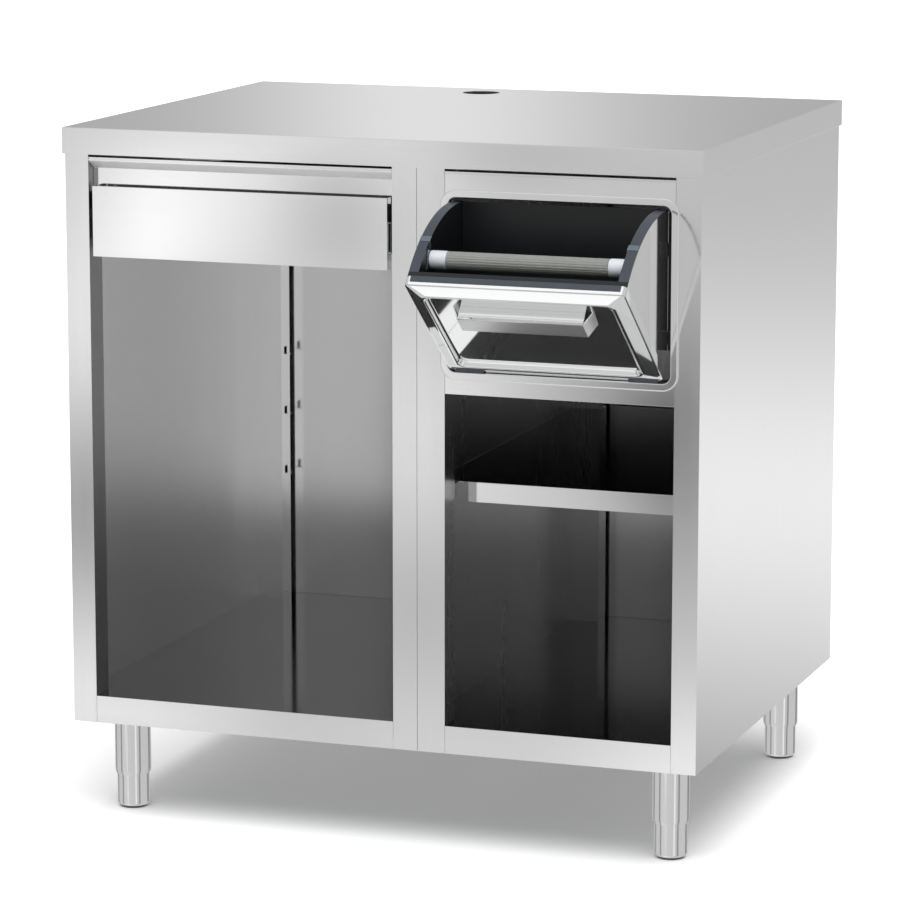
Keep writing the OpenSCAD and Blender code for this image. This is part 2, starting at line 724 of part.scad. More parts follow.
module drawer_box() color(steel) placed() difference() {
    y0 = drawer_back;
    y1 = y0 + box_len;
    union() {
        difference() {
            slab([box_x[0], y0, box_z0], [box_x[1], y1, box_z1]);
            slab([box_x[0] + sheet, y0 + sheet, box_z0 + sheet],
                 [box_x[1] - sheet, y1 - sheet, box_z1 + past]);
        }
        slab([box_x[0], y0, box_z1 - sheet], [box_x[0] + box_rim, y1, box_z1]);
        slab([box_x[1] - box_rim, y0, box_z1 - sheet], [box_x[1], y1, box_z1]);
    }
    drawer_screw_places() rod_y(y0 - 5, y0 + 5, 2 + bolt_gap);
}

module drawer_screws() color(zinc) placed() drawer_screw_places() {
    rod_y(drawer_back - 5, drawer_back + sheet + 2, 2);
    rod_y(drawer_back + sheet, drawer_back + sheet + 2, 4);
    rod_y(drawer_back - sheet - 3, drawer_back - sheet, 3.5);
}

// Loose shelf

module shelf() color(polished) placed() {
    x0 = right_in[0] + shelf_gap;
    x1 = right_in[1] - shelf_gap;
    side = upright_w + clip_t + shelf_gap;
    fold_x0 = right_open[0] + shelf_fold_inset;
    fold_x1 = right_open[1] - shelf_fold_inset;
    slab([x0, shelf_y, shelf_z - sheet], [x1, upright_y - shelf_gap, shelf_z]);
    tail_x0 = right_in[0] + side;
    tail_x1 = right_in[1] - side;
    tail_y = fold_y - 6;
    low_z = shelf_z - shelf_fold;
    slab([tail_x0, upright_y - 2, shelf_z - sheet], [tail_x1, tail_y, shelf_z]);
    slab([fold_x0, shelf_y, low_z], [fold_x1, shelf_y + sheet, shelf_z]);
    slab([fold_x0, shelf_y, low_z], [fold_x1, shelf_y + small_return, low_z + sheet]);
    slab([tail_x0, tail_y - sheet, low_z], [tail_x1, tail_y, shelf_z]);
}

// A clip hooked into a slot of a front post, reaching back under the shelf.
module front_clip() {
    x = post_mid_right - slot_w/2 - 6;
    z = shelf_z - sheet;
    hook = slot_w/2 - 1;
    seat = slot_seat;
    slab([x - clip_w/2, post_back + touch, z - clip_drop], [x + clip_w/2, post_back + clip_t, z]);
    slab([x - clip_w/2, post_back + touch, z - clip_t], [x + clip_w/2, post_back + clip_reach, z]);
    slab([x - hook, post_back - sheet - clip_t - 0.3, seat], [x + hook, post_back + clip_t, seat + 3]);
    slab([x - hook, post_back - sheet - clip_t - 0.3, seat - clip_hook],
         [x + hook, post_back - sheet - 0.3, seat + 3]);
    slab([x + clip_w/2 - clip_t, post_back + touch, z - clip_drop/2],
         [x + clip_w/2, post_back + clip_reach/2, z]);
}

// A clip hooked into a slot of a rear upright, reaching in under the shelf.
module rear_clip() {
    x = upright_w;
    y = upright_y + upright_d/2;
    z = shelf_z - sheet;
    hook = slot_w/2 - 1;
    seat = slot_seat;
    slab([x + touch, y - clip_w/2, seat + touch], [x + clip_t, y + clip_w/2, z]);
    slab([x + touch, y - clip_w/2, z - clip_t], [x + clip_reach/2, y + clip_w/2, z]);
    slab([x - sheet - clip_t - 0.3, y - hook, seat], [x + clip_t, y + hook, seat + 3]);
    slab([x - sheet - clip_t - 0.3, y - hook, seat - clip_hook], [x - sheet - 0.3, y + hook, seat + 3]);
}

module shelf_clips() color(zinc) placed() {
    translate([seam_x1, 0, 0]) front_clip();
    translate([body_x1, 0, 0]) mirror([1, 0, 0]) translate([post_outer - post_mid_right, 0, 0]) front_clip();
    translate([right_in[0], 0, 0]) rear_clip();
    translate([right_in[1], 0, 0]) mirror([1, 0, 0]) rear_clip();
}

// Bin frame

// The bead's section: u runs outwards from the opening and v forwards from the body.
module bead_section() {
    r = bead_h/2;
    square([bead_w, r]);
    translate([r, 0]) square([bead_w - 2*r, bead_h]);
    for (u = [r, bead_w - r]) translate([u, r]) circle(r);
}

// Sweeps a section round the opening, with straight sides and quarter-turn corners.
module swept_round_opening() {
    straight_x = opening_w/2 - opening_r;
    straight_z = opening_h/2 - opening_r;
    for (turn = [0, 180]) rotate([0, turn, 0]) {
        translate([-straight_x, 0, straight_z + opening_r]) rotate([90, 0, 90])
            linear_extrude(2*straight_x) rotate(90) children();
        translate([straight_x + opening_r, 0, -straight_z]) linear_extrude(2*straight_z)
            mirror([0, 1]) children();
    }
    for (sx = [0, 1], sz = [0, 1]) mirror([sx, 0, 0]) mirror([0, 0, sz])
        translate([straight_x, 0, straight_z]) rotate([90, 0, 0])
            rotate_extrude(angle = 90) translate([opening_r, 0]) children();
}

module hopper_frame() color(bright) placed() translate([opening_x, body_y0, 0]) difference() {
    union() {
        translate([0, 0, opening_z + opening_h/2]) swept_round_opening() bead_section();
        translate([0, 0, opening_z - sheet]) standing(0, sleeve_d) difference() {
            round_rect(opening_w + 2*sheet, opening_h + 2*sheet, opening_r + sheet);
            translate([0, sheet]) round_rect(opening_w, opening_h, opening_r);
        }
        for (z = [0.25*opening_h, 0.75*opening_h], side = [0, 1]) mirror([side, 0, 0])
            slab([quadrant_out + 0.4 + (2*side - 1)*bin_shift, sleeve_d - sleeve_back + pan_back + stop_gap,
                  opening_z + z - tab_h/2],
                 [opening_w/2 + sheet/2, sleeve_d, opening_z + z + tab_h/2]);
    }
    translate([-opening_x, -body_y0, 0]) frame_screw_places() for (z = [opening_z - 5, opening_top - past])
        translate([0, 0, z]) cylinder(h = 6, r = 1.5 + touch);
}

// Blocks at the foot of the opening that carry the hinge pin.
module hinge_blocks() color(plastic_dark) at_hinge() both_bin_sides() difference() {
    across(block_x0, block_x1) intersection() {
        union() {
            circle(block_r);
            translate([-block_r, -block_r]) square([sleeve_back + block_r - 6, block_r]);
        }
        translate([-block_r, -hinge_up + touch]) square([3*block_r + sleeve_back, 3*block_r]);
    }
    rod_x(block_x0 - past, block_x1 + past, pin_d/2 + touch);
}

module hinge_pin() color(zinc) at_hinge() rod_x(-block_x1 - 2, block_x1 + 2, pin_d/2);

// Bin

// The pressed front: border, recessed field, side returns and the edge rolled round the pin.
module bin_front() color(bright) open_bin() difference() {
    pan_h = bin_top - bin_low;
    field_h = pan_h - 2*border_w;
    field_w = 2*(bin_half - border_w);
    union() {
        translate([0, 0, bin_low]) {
            standing(-hem_r, -hem_r + front_t) difference() {
                round_rect(2*bin_half, pan_h, bin_r);
                translate([0, border_w]) round_rect(field_w, field_h, field_r);
            }
            standing(-hem_r, pan_back) difference() {
                round_rect(2*bin_half, pan_h, bin_r);
                translate([0, front_t])
                    round_rect(2*(bin_half - front_t), pan_h - 2*front_t, bin_r - front_t);
            }
            standing(-hem_r, field_y + front_t) difference() {
                translate([0, border_w - front_t])
                    round_rect(field_w + 2*front_t, field_h + 2*front_t, field_r + front_t);
                translate([0, border_w]) round_rect(field_w, field_h, field_r);
            }
            standing(field_y, field_y + front_t) translate([0, border_w])
                round_rect(field_w, field_h, field_r);
        }
        slab([-hem_half, -hem_r, 0], [hem_half, -hem_r + front_t, bin_low + front_t]);
        rod_x(-hem_half, hem_half, hem_r);
    }
    rod_x(-hem_half - past, hem_half + past, pin_d/2 + pin_gap);
}

// A bridge handle bent from one strip, with the grip's edges folded back.
module bin_handle() color(bright) open_bin() translate([0, field_y, handle_z1 - handle_h]) {
    half = handle_l/2;
    out = half + handle_slope;
    reach = handle_reach;
    t = handle_t;
    linear_extrude(handle_h) polygon([
        [-out - handle_foot, 0], [-out - handle_foot, -t], [-out - t/2, -t],
        [-half - t/2, -reach], [half + t/2, -reach], [out + t/2, -t], [out + handle_foot, -t],
        [out + handle_foot, 0], [out, 0], [half - t/2, -reach + t], [-half + t/2, -reach + t], [-out, 0]]);
    for (z = [0, handle_h - t]) translate([0, 0, z]) linear_extrude(t) polygon([
        [-half, -reach + t/2], [half, -reach + t/2],
        [half, -reach + handle_flange], [-half, -reach + handle_flange]]);
}

// Keeps what lies ahead of a line that is upright while the bin is open.
module ahead_of(y) rotate(-bin_tilt) translate([y - 2*bin_top, -bin_top]) square([2*bin_top, 3*bin_top]);

module quadrant_outline() intersection() {
    circle(quadrant_r, $fn = 128);
    translate([-hem_r + front_t, bin_low + bin_r]) square([2*bin_top, bin_top]);
    ahead_of(stop_y + front_t);
}

// Two side quadrants with stop flanges, and the cradle under the tub.
module bin_carrier() color(polished) open_bin() {
    for (side = [0, 1]) mirror([side, 0, 0]) {
        across(quadrant_out - front_t, quadrant_out) quadrant_outline();
        across(quadrant_out - front_t, opening_w/2 + stop_past - (2*side - 1)*bin_shift) difference() {
            quadrant_outline();
            ahead_of(stop_y);
        }
    }
    across(-quadrant_out + front_t, quadrant_out - front_t) translate(tub_centre) difference() {
        circle(tub_floor_r + 0.3 + front_t);
        circle(tub_floor_r + 0.3);
        translate([-2*tub_floor_r, 0]) square(4*tub_floor_r);
        rotate(90 - bin_tilt) translate([0, -tub_floor_r]) square(4*tub_floor_r);
    }
}

// Rivets through the front's side returns and the quadrants, and through the handle's feet.
rivet_r = 2.4;
module bin_rivets() color(zinc) open_bin() both_bin_sides() {
    for (z = [0.2*bin_top, 0.5*bin_top, 0.8*bin_top]) translate([0, pan_back/2, z])
        rod_x(quadrant_out - front_t - 0.8, quadrant_out - front_t, rivet_r);
    translate([handle_l/2 + handle_slope + handle_foot/2 + 1, 0, handle_z1 - handle_h/2])
        rod_y(field_y - handle_t - 0.8, field_y - handle_t, rivet_r);
}

// Tub and knock bar

// The wedge between the front wall and the rear wall, drawn in by a wall thickness.
module wedge_outline(inset, r) {
    far = 2*bin_top;
    c = tub_centre;
    rr = tub_floor_r - inset;
    side = rr - touch;
    n = [cos(bin_tilt), -sin(bin_tilt)];
    along = [sin(bin_tilt), cos(bin_tilt)];
    intersection() {
        circle(r, $fn = 128);
        union() {
            translate(c) circle(rr);
            polygon([c, c - [side, 0], c + [-side, far], c + side*n + far*along, c + side*n]);
        }
    }
}

module bin_tub() color(plastic_black) open_bin() difference() {
    union() {
        across(-tub_half, tub_half) wedge_outline(0, rim_r1 - rim_t/2);
        across(-rim_half, rim_half) difference() {
            intersection() {
                circle(rim_r1, $fn = 128);
                translate([pan_back + 0.3, 0]) square(2*bin_top);
                ahead_of(tub_rear);
            }
            circle(rim_r0, $fn = 128);
        }
    }
    across(-tub_half + tub_t, tub_half - tub_t) wedge_outline(tub_t, 2*rim_r1);
}

module knock_bar() color(zinc) at_knock()
    rod_x(-knock_half + bracket_t, knock_half - bracket_t, knock_core_d/2);

module knock_tube(x0, x1, d) difference() {
    rod_x(x0, x1, d/2);
    rod_x(x0 - past, x1 + past, knock_core_d/2 + touch);
}

// The ribbed rubber sleeve: rings of full diameter between shallow grooves.
module knock_sleeve() color(rubber_grey) at_knock() {
    half = knock_half - bracket_t - cap_l;
    knock_tube(-half, half, knock_sleeve_d);
}

module knock_caps() color(nylon) at_knock() both_bin_sides() {
    x1 = knock_half - bracket_t - touch;
    knock_tube(x1 - cap_l + 2*touch, x1, cap_d);
}

// A strap's outline up to radius r from the hinge, upright while the bin is open.
module strap_outline(r) intersection() {
    translate([0, -knock_r]) circle(r, $fn = 128);
    rotate(knock_angle - bin_tilt) translate([-strap_w/2, 0]) square([strap_w, knock_r]);
}

// Winged plates on the tub's side walls, each hung over the rim by a strap.
module knock_brackets() color(bright) at_knock() both_bin_sides() {
    wing = cap_d*0.8;
    strap_r = rim_r1 + strap_gap + bracket_t;
    across(knock_half - bracket_t, knock_half) {
        polygon([[-wing, 0], [0, -wing], [wing, 0], [0, wing]]);
        strap_outline(strap_r);
    }
    across(knock_half - bracket_t, rim_half) difference() {
        strap_outline(strap_r);
        translate([0, -knock_r]) circle(strap_r - bracket_t, $fn = 128);
    }
}

// Fasteners

module module_bolts() color(zinc) placed() seam_bolt_places() {
    rod_x(seam_x0 - sheet - 4, seam_x1 + sheet + 5, seam_bolt_r);
    rod_x(seam_x0 - sheet - 4, seam_x0 - sheet, 7);
    rod_x(seam_x1 + sheet, seam_x1 + sheet + 5, 6.5);
}

module worktop_bolts() color(zinc) placed() for (x = [-top_bolt_x, top_bolt_x]) top_bolt_places(x) {
    translate([0, 0, body_z1 - sheet - 3]) cylinder(h = 3, r = 4.5);
    translate([0, 0, body_z1 - sheet - 3]) cylinder(h = sheet + 3, r = top_bolt_r);
}

module leg_bolts() color(zinc) placed() each_leg()
    for (dx = [-leg_bolt[0], leg_bolt[0]], dy = [-leg_bolt[1], leg_bolt[1]]) translate([dx, dy, 0]) {
        translate([0, 0, leg_top - 3]) cylinder(h = 3, r = 5, $fn = 6);
        translate([0, 0, leg_top - 3]) cylinder(h = flange_t + channel_t + 9, r = 3);
        translate([0, 0, leg_h + channel_t]) cylinder(h = 4, r = 5.5, $fn = 6);
    }

module frame_screws() color(zinc) placed() frame_screw_places() {
    translate([0, 0, opening_top]) cylinder(h = 2*sheet + 2, r = 1.5);
    translate([0, 0, opening_top + 2*sheet]) cylinder(h = 2, r = 3);
    translate([0, 0, opening_z - 2*sheet - 2]) cylinder(h = 2*sheet + 2, r = 1.5);
    translate([0, 0, opening_z - 2*sheet - 2]) cylinder(h = 2, r = 3);
}

module runner_screws() color(zinc) placed() both_runner_sides() runner_screw_places() {
    rod_x(left_open[0] - sheet - 3, left_open[0] + runner_sheet + 1.4, 2);
    rod_x(left_open[0] + runner_sheet, left_open[0] + runner_sheet + 1.4, 4);
    rod_x(left_open[0] - sheet - 3, left_open[0] - sheet, 3.5);
}

// Legs

module leg_flanges() color(steel) placed() each_leg() difference() {
    half = leg_bolt[0] + 12;
    slab([-half, -channel_w/2 + 2, leg_top], [half, channel_w/2 - 2, leg_h]);
    for (dx = [-leg_bolt[0], leg_bolt[0]], dy = [-leg_bolt[1], leg_bolt[1]])
        translate([dx, dy, leg_top - past]) cylinder(h = flange_t + 2*past, r = 3 + bolt_gap);
}

// The tube narrows at its lower end round the foot.
module leg_tubes() color(polished) placed() each_leg() {
    r = leg_d/2;
    low = foot_d/2 + foot_gap;
    rotate_extrude() polygon([[r, leg_top], [r, foot_show + leg_taper], [low + leg_wall, foot_show],
        [low, foot_show], [r - leg_wall, foot_show + leg_taper], [r - leg_wall, leg_top]]);
}

module leg_inserts() color(plastic_black) placed() each_leg() translate([0, 0, insert_z0]) difference() {
    cylinder(h = insert_z1 - insert_z0, r = leg_d/2 - leg_wall - touch);
    translate([0, 0, -past]) cylinder(h = insert_z1 - insert_z0 + 2*past, r = stud_d/2 + 0.05);
}

module at_foot(i, j) placed() translate([leg_x[i], leg_y[j], 0]) children();

// Half a foot's section up to height h, drawn in by a wall thickness, with its lower edge rounded.
module foot_section(inset, h) {
    r = foot_d/2 - foot_round;
    translate([r, foot_round]) circle(foot_round - inset, $fn = 24);
    translate([0, inset]) square([r, h - inset]);
    translate([0, foot_round]) square([foot_d/2 - inset, h - foot_round]);
}

module foot_cup(i, j) color(polished) at_foot(i, j) translate([0, 0, glide_h]) rotate_extrude() difference() {
    foot_section(0, foot_top - glide_h);
    foot_section(leg_wall, foot_top);
}

module foot_stud(i, j) color(zinc) at_foot(i, j) translate([0, 0, glide_h + leg_wall]) {
    cylinder(h = stud_top - glide_h - leg_wall, d = stud_d);
    cylinder(h = 8, r = stud_d*0.85, $fn = 6);
}

module foot_glide(i, j) color(plastic_dark) at_foot(i, j) {
    r = foot_d/2 - foot_round;
    edge = glide_h*0.4;
    rotate_extrude() polygon([[0, 0], [r - edge, 0], [r, edge], [r, glide_h], [0, glide_h]]);
}
module foot_cup_fl() foot_cup(0, 0);
module foot_cup_fr() foot_cup(1, 0);
module foot_cup_bl() foot_cup(0, 1);
module foot_cup_br() foot_cup(1, 1);
module foot_stud_fl() foot_stud(0, 0);
module foot_stud_fr() foot_stud(1, 0);
module foot_stud_bl() foot_stud(0, 1);
module foot_stud_br() foot_stud(1, 1);
module foot_glide_fl() foot_glide(0, 0);
module foot_glide_fr() foot_glide(1, 0);
module foot_glide_bl() foot_glide(0, 1);
module foot_glide_br() foot_glide(1, 1);

worktop();
worktop_board();
worktop_stiffeners();
side_panel_left();
partition_left();
partition_right();
side_panel_right();
rear_uprights_left();
rear_uprights_right();
back_panel_left();
back_panel_right();
bottom_shelf_left();
bottom_shelf_right();
leg_channels();
drawer_rail();
top_rail_right();
rear_rails();
hopper_rail();
runner_brackets();
runner_outers();
runner_stops();
shelf();
shelf_clips();
hopper_frame();
hinge_blocks();
hinge_pin();
leg_flanges();
leg_tubes();
leg_inserts();
module_bolts();
leg_bolts();
worktop_bolts();
frame_screws();
runner_screws();
runner_middles();
drawer_front();
drawer_box();
runner_inners();
drawer_screws();
bin_front();
bin_handle();
bin_carrier();
bin_rivets();
bin_tub();
knock_bar();
knock_sleeve();
knock_caps();
knock_brackets();
foot_cup_fl();
foot_cup_fr();
foot_cup_bl();
foot_cup_br();
foot_stud_fl();
foot_stud_fr();
foot_stud_bl();
foot_stud_br();
foot_glide_fl();
foot_glide_fr();
foot_glide_bl();
foot_glide_br();
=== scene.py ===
"""Coffee machine cabinet: rounded folds, added pieces, finishes and studio round the frame."""

import json
import logging
import math
from collections.abc import Callable
from dataclasses import dataclass
from enum import Enum

import bmesh
import bpy
from bpy.types import Material, Mesh, Node, NodeSocket, NodeTree, Object, Scene
from mathutils import Matrix, Vector

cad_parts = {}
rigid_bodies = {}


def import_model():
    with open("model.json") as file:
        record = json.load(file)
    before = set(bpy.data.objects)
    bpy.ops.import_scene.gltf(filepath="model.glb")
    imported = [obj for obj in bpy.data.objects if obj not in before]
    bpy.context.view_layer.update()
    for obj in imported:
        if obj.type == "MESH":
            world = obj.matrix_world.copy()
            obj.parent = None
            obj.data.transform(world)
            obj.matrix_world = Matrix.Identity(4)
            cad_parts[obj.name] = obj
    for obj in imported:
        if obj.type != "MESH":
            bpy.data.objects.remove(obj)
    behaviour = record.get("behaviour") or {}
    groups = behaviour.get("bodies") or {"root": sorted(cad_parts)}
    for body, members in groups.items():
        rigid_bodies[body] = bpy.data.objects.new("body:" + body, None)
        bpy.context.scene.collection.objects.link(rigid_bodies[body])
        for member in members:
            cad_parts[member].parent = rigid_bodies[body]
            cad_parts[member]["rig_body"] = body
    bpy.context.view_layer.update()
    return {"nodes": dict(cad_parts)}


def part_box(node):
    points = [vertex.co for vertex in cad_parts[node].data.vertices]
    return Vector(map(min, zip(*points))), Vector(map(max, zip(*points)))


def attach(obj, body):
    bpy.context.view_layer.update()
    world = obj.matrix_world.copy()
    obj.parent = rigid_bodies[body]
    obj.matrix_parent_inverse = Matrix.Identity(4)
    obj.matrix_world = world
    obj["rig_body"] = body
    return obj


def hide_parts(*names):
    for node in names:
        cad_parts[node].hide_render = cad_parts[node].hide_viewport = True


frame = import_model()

Colour = tuple[float, float, float]
Term = float | NodeSocket

LOG = logging.getLogger("cabinet")
MM = 0.001
# Points nearer than this, in metres, are one.
WELD = 2e-6
# Faces that meet at less than this angle are one flat face.
FLAT = math.radians(0.6)
# A face whose normal has more than this part along an axis faces that way.
FACING = 0.8
WHITE = (1.0, 1.0, 1.0, 1.0)
# The colour inputs of a Mix node and its colour output.
MIX_LOW, MIX_HIGH, MIX_RESULT = 6, 7, 2


class Grain(Enum):
    """The way the brushed lines of a sheet run."""

    ALONG_X = (0.012, 1.0, 1.0)
    ALONG_Y = (1.0, 0.012, 1.0)
    ALONG_Z = (1.0, 1.0, 0.012)


class Socket(Enum):
    """Kinds of socket on a shared node group."""

    VALUE = "NodeSocketFloat"
    VECTOR = "NodeSocketVector"


class Texture(Enum):
    """Kinds of texture node."""

    NOISE = "ShaderNodeTexNoise"
    CELLS = "ShaderNodeTexVoronoi"


class Fold(Enum):
    """Kinds of edge of a folded or moulded piece."""

    FLAT = "flat"
    SHEET_EDGE = "sheet edge"
    OUTSIDE = "outside"
    INSIDE = "inside"


def grey(level: float) -> Colour:
    """A neutral colour."""
    return (level, level, level)


@dataclass(frozen=True)
class Wire:
    """A node tree with short ways to add and join nodes."""

    tree: NodeTree

    def add(self, kind: str, **settings: object) -> Node:
        """Adds a node.

        Args:
            kind: Blender's name for the node.
            settings: Properties of the node, or values for its inputs by name.

        Returns:
            The new node.
        """
        node = self.tree.nodes.new(kind)
        for key, value in settings.items():
            if hasattr(node, key):
                setattr(node, key, value)
            else:
                node.inputs[key].default_value = value
        return node

    def feed(self, value: Term | tuple, end: NodeSocket) -> None:
        """Links a socket to an input, or gives the input a value.

        Args:
            value: The socket or the value.
            end: The input.
        """
        if isinstance(value, NodeSocket):
            self.tree.links.new(value, end)
        else:
            end.default_value = value

    def maths(self, operation: str, *terms: Term) -> NodeSocket:
        """Adds a Math node.

        Args:
            operation: The operation's name.
            terms: Numbers, or sockets to link.

        Returns:
            The node's output socket.
        """
        node = self.add("ShaderNodeMath", operation=operation)
        for term, end in zip(terms, node.inputs):
            self.feed(term, end)
        return node.outputs[0]

    def weighed(self, one: NodeSocket, share: float, other: NodeSocket) -> NodeSocket:
        """Mixes two masks, of which the first has the given share and the other the rest."""
        rest = self.maths("MULTIPLY", other, 1.0 - share)
        return self.maths("MULTIPLY_ADD", one, share, rest)

    def ranged(self, mask: NodeSocket, low: float, high: float) -> NodeSocket:
        """Maps a mask from 0 and 1 to low and high.

        Args:
            mask: The mask.
            low: What 0 becomes.
            high: What 1 becomes.

        Returns:
            The mapped value.
        """
        node = self.add("ShaderNodeMapRange")
        self.feed(low, node.inputs["To Min"])
        self.feed(high, node.inputs["To Max"])
        self.feed(mask, node.inputs["Value"])
        return node.outputs["Result"]

    def blended(self, mask: NodeSocket, low: Colour, high: Colour) -> NodeSocket:
        """Mixes two colours by a mask.

        Args:
            mask: The mask.
            low: The colour at 0.
            high: The colour at 1.

        Returns:
            The mixed colour.
        """
        node = self.add("ShaderNodeMix", data_type="RGBA")
        self.feed((*low, 1.0), node.inputs[MIX_LOW])
        self.feed((*high, 1.0), node.inputs[MIX_HIGH])
        self.feed(mask, node.inputs["Factor"])
        return node.outputs[MIX_RESULT]

    def textured(self, kind: Texture, place: NodeSocket, scale: Term, **settings: object) -> Node:
        """Adds a texture.

        Args:
            kind: Its kind.
            place: Its coordinates.
            scale: Its scale.
            settings: Its other properties and inputs.

        Returns:
            The texture's node.
        """
        node = self.add(kind.value, **settings)
        self.feed(place, node.inputs["Vector"])
        self.feed(scale, node.inputs["Scale"])
        return node

    def bumped(self, shader: Node, height: NodeSocket, strength: float, depth: float) -> None:
        """Gives a shader a fine relief.

        Args:
            shader: The shader.
            height: The relief's mask.
            strength: How strongly it shows.
            depth: Its depth in metres.
        """
        bump = self.add("ShaderNodeBump", Strength=strength, Distance=depth)
        self.feed(height, bump.inputs["Height"])
        self.feed(bump.outputs["Normal"], shader.inputs["Normal"])


def group_with(name: str, inputs: dict[str, Socket],
               outputs: dict[str, Socket]) -> tuple[NodeTree, Wire, Node, Node]:
    """Starts a shared node group.

    Args:
        name: The group's name.
        inputs: Its input sockets by name.
        outputs: Its output sockets by name.

    Returns:
        The group, its wiring, and its input and output nodes.
    """
    tree = bpy.data.node_groups.new(name, "ShaderNodeTree")
    for key, kind in inputs.items():
        tree.interface.new_socket(key, in_out="INPUT", socket_type=kind.value)
    for key, kind in outputs.items():
        tree.interface.new_socket(key, in_out="OUTPUT", socket_type=kind.value)
    wire = Wire(tree)
    return tree, wire, wire.add("NodeGroupInput"), wire.add("NodeGroupOutput")


class Effects:
    """The shader groups that several finishes share.

    Scales named here are shares of the scale that a finish gives.
    """

    BAND_SCALE = 0.035
    MARK_SCALE = 9.0
    MARK_SHARE = 0.35
    PATCH_LOW, PATCH_HIGH = -0.9, 1.9
    FLOW_SCALE = 0.03

    def __init__(self) -> None:
        """Builds each group once."""
        self.brushing = self._brushing()
        self.handling = self._handling()
        self.moulding = self._moulding()

    def _brushing(self) -> NodeTree:
        """Builds fine parallel lines and the broader bands across them.

        Returns:
            The group.
        """
        tree, wire, start, end = group_with(
            "BrushedLines",
            {"Vector": Socket.VECTOR, "Stretch": Socket.VECTOR, "Lines per Metre": Socket.VALUE},
            {"Lines": Socket.VALUE, "Bands": Socket.VALUE})
        stretched = wire.add("ShaderNodeVectorMath", operation="MULTIPLY")
        wire.feed(start.outputs["Vector"], stretched.inputs[0])
        wire.feed(start.outputs["Stretch"], stretched.inputs[1])
        place, lines = stretched.outputs[0], start.outputs["Lines per Metre"]
        fine = wire.textured(Texture.NOISE, place, lines, Detail=3.0, Roughness=0.62)
        broad = wire.textured(Texture.NOISE, place, wire.maths("MULTIPLY", lines, self.BAND_SCALE),
                              Detail=2.0, Roughness=0.5)
        wire.feed(fine.outputs["Fac"], end.inputs["Lines"])
        wire.feed(broad.outputs["Fac"], end.inputs["Bands"])
        return tree

    def _handling(self) -> NodeTree:
        """Builds wiped patches and faint finger marks, as one mask.

        Returns:
            The group.
        """
        tree, wire, start, end = group_with(
            "HandledPatches", {"Vector": Socket.VECTOR, "Patch Scale": Socket.VALUE},
            {"Patches": Socket.VALUE})
        place, scale = start.outputs["Vector"], start.outputs["Patch Scale"]
        wiped = wire.textured(Texture.NOISE, place, scale,
                              Detail=4.0, Roughness=0.55, Distortion=0.6)
        marks = wire.textured(Texture.NOISE, place, wire.maths("MULTIPLY", scale, self.MARK_SCALE),
                              Detail=6.0, Roughness=0.7)
        mixed = wire.weighed(marks.outputs["Fac"], self.MARK_SHARE, wiped.outputs["Fac"])
        wire.feed(wire.ranged(mixed, self.PATCH_LOW, self.PATCH_HIGH), end.inputs["Patches"])
        return tree

    def _moulding(self) -> NodeTree:
        """Builds the fine spark-eroded grain of a moulded piece, with a broad flow mottle.

        Returns:
            The group.
        """
        tree, wire, start, end = group_with(
            "MouldedGrain", {"Vector": Socket.VECTOR, "Grain Scale": Socket.VALUE},
            {"Grain": Socket.VALUE, "Mottle": Socket.VALUE})
        place, scale = start.outputs["Vector"], start.outputs["Grain Scale"]
        cells = wire.textured(Texture.CELLS, place, scale, feature="SMOOTH_F1", Smoothness=0.6)
        flow = wire.textured(Texture.NOISE, place, wire.maths("MULTIPLY", scale, self.FLOW_SCALE),
                             Detail=3.0, Roughness=0.5)
        wire.feed(cells.outputs["Distance"], end.inputs["Grain"])
        wire.feed(flow.outputs["Fac"], end.inputs["Mottle"])
        return tree


EFFECTS = Effects()


def new_material(name: str) -> tuple[Material, Wire, Node, NodeSocket]:
    """Starts a material.

    Args:
        name: The material's name.

    Returns:
        The material, its wiring, its Principled shader and its object coordinates.
    """
    material = bpy.data.materials.new(name)
    material.use_nodes = True
    wire = Wire(material.node_tree)
    shader = material.node_tree.nodes["Principled BSDF"]
    place = wire.add("ShaderNodeTexCoord")
    return material, wire, shader, place.outputs["Object"]


@dataclass(frozen=True)
class Steel:
    """Stainless or plated steel with brushed lines and wiped patches.

    Roughness runs between smooth and rough with the lines and the patches. Depth is the lines'
    depth in metres. Scatter is the share of light that the fine scratches spread evenly, and edge
    is the brightness of what glances off at a flat angle.
    """

    LINE_SHARE = 0.45
    PATCH_SHARE = 0.25
    RELIEF = 0.3

    name: str
    light: Colour
    dark: Colour
    smooth: float
    rough: float
    grain: Grain = Grain.ALONG_X
    lines: float = 1800.0
    depth: float = 0.000006
    patches: float = 2.2
    scatter: float = 0.03
    edge: float = 1.0

    def material(self) -> Material:
        """Builds the material.

        Returns:
            The material.
        """
        material, wire, shader, place = new_material(self.name)
        brushing = wire.add("ShaderNodeGroup", node_tree=EFFECTS.brushing)
        wire.feed(place, brushing.inputs["Vector"])
        wire.feed(self.grain.value, brushing.inputs["Stretch"])
        wire.feed(self.lines, brushing.inputs["Lines per Metre"])
        handling = wire.add("ShaderNodeGroup", node_tree=EFFECTS.handling)
        wire.feed(place, handling.inputs["Vector"])
        wire.feed(self.patches, handling.inputs["Patch Scale"])
        lines = brushing.outputs["Lines"]
        streak = wire.weighed(lines, self.LINE_SHARE, brushing.outputs["Bands"])
        mask = wire.weighed(handling.outputs["Patches"], self.PATCH_SHARE, streak)
        wire.feed(wire.blended(mask, self.dark, self.light), shader.inputs["Base Color"])
        wire.feed(wire.ranged(mask, self.rough, self.smooth), shader.inputs["Roughness"])
        wire.bumped(shader, lines, self.RELIEF, self.depth)
        wire.feed(1.0 - self.scatter, shader.inputs["Metallic"])
        wire.feed((*grey(self.edge), 1.0), shader.inputs["Specular Tint"])
        return material


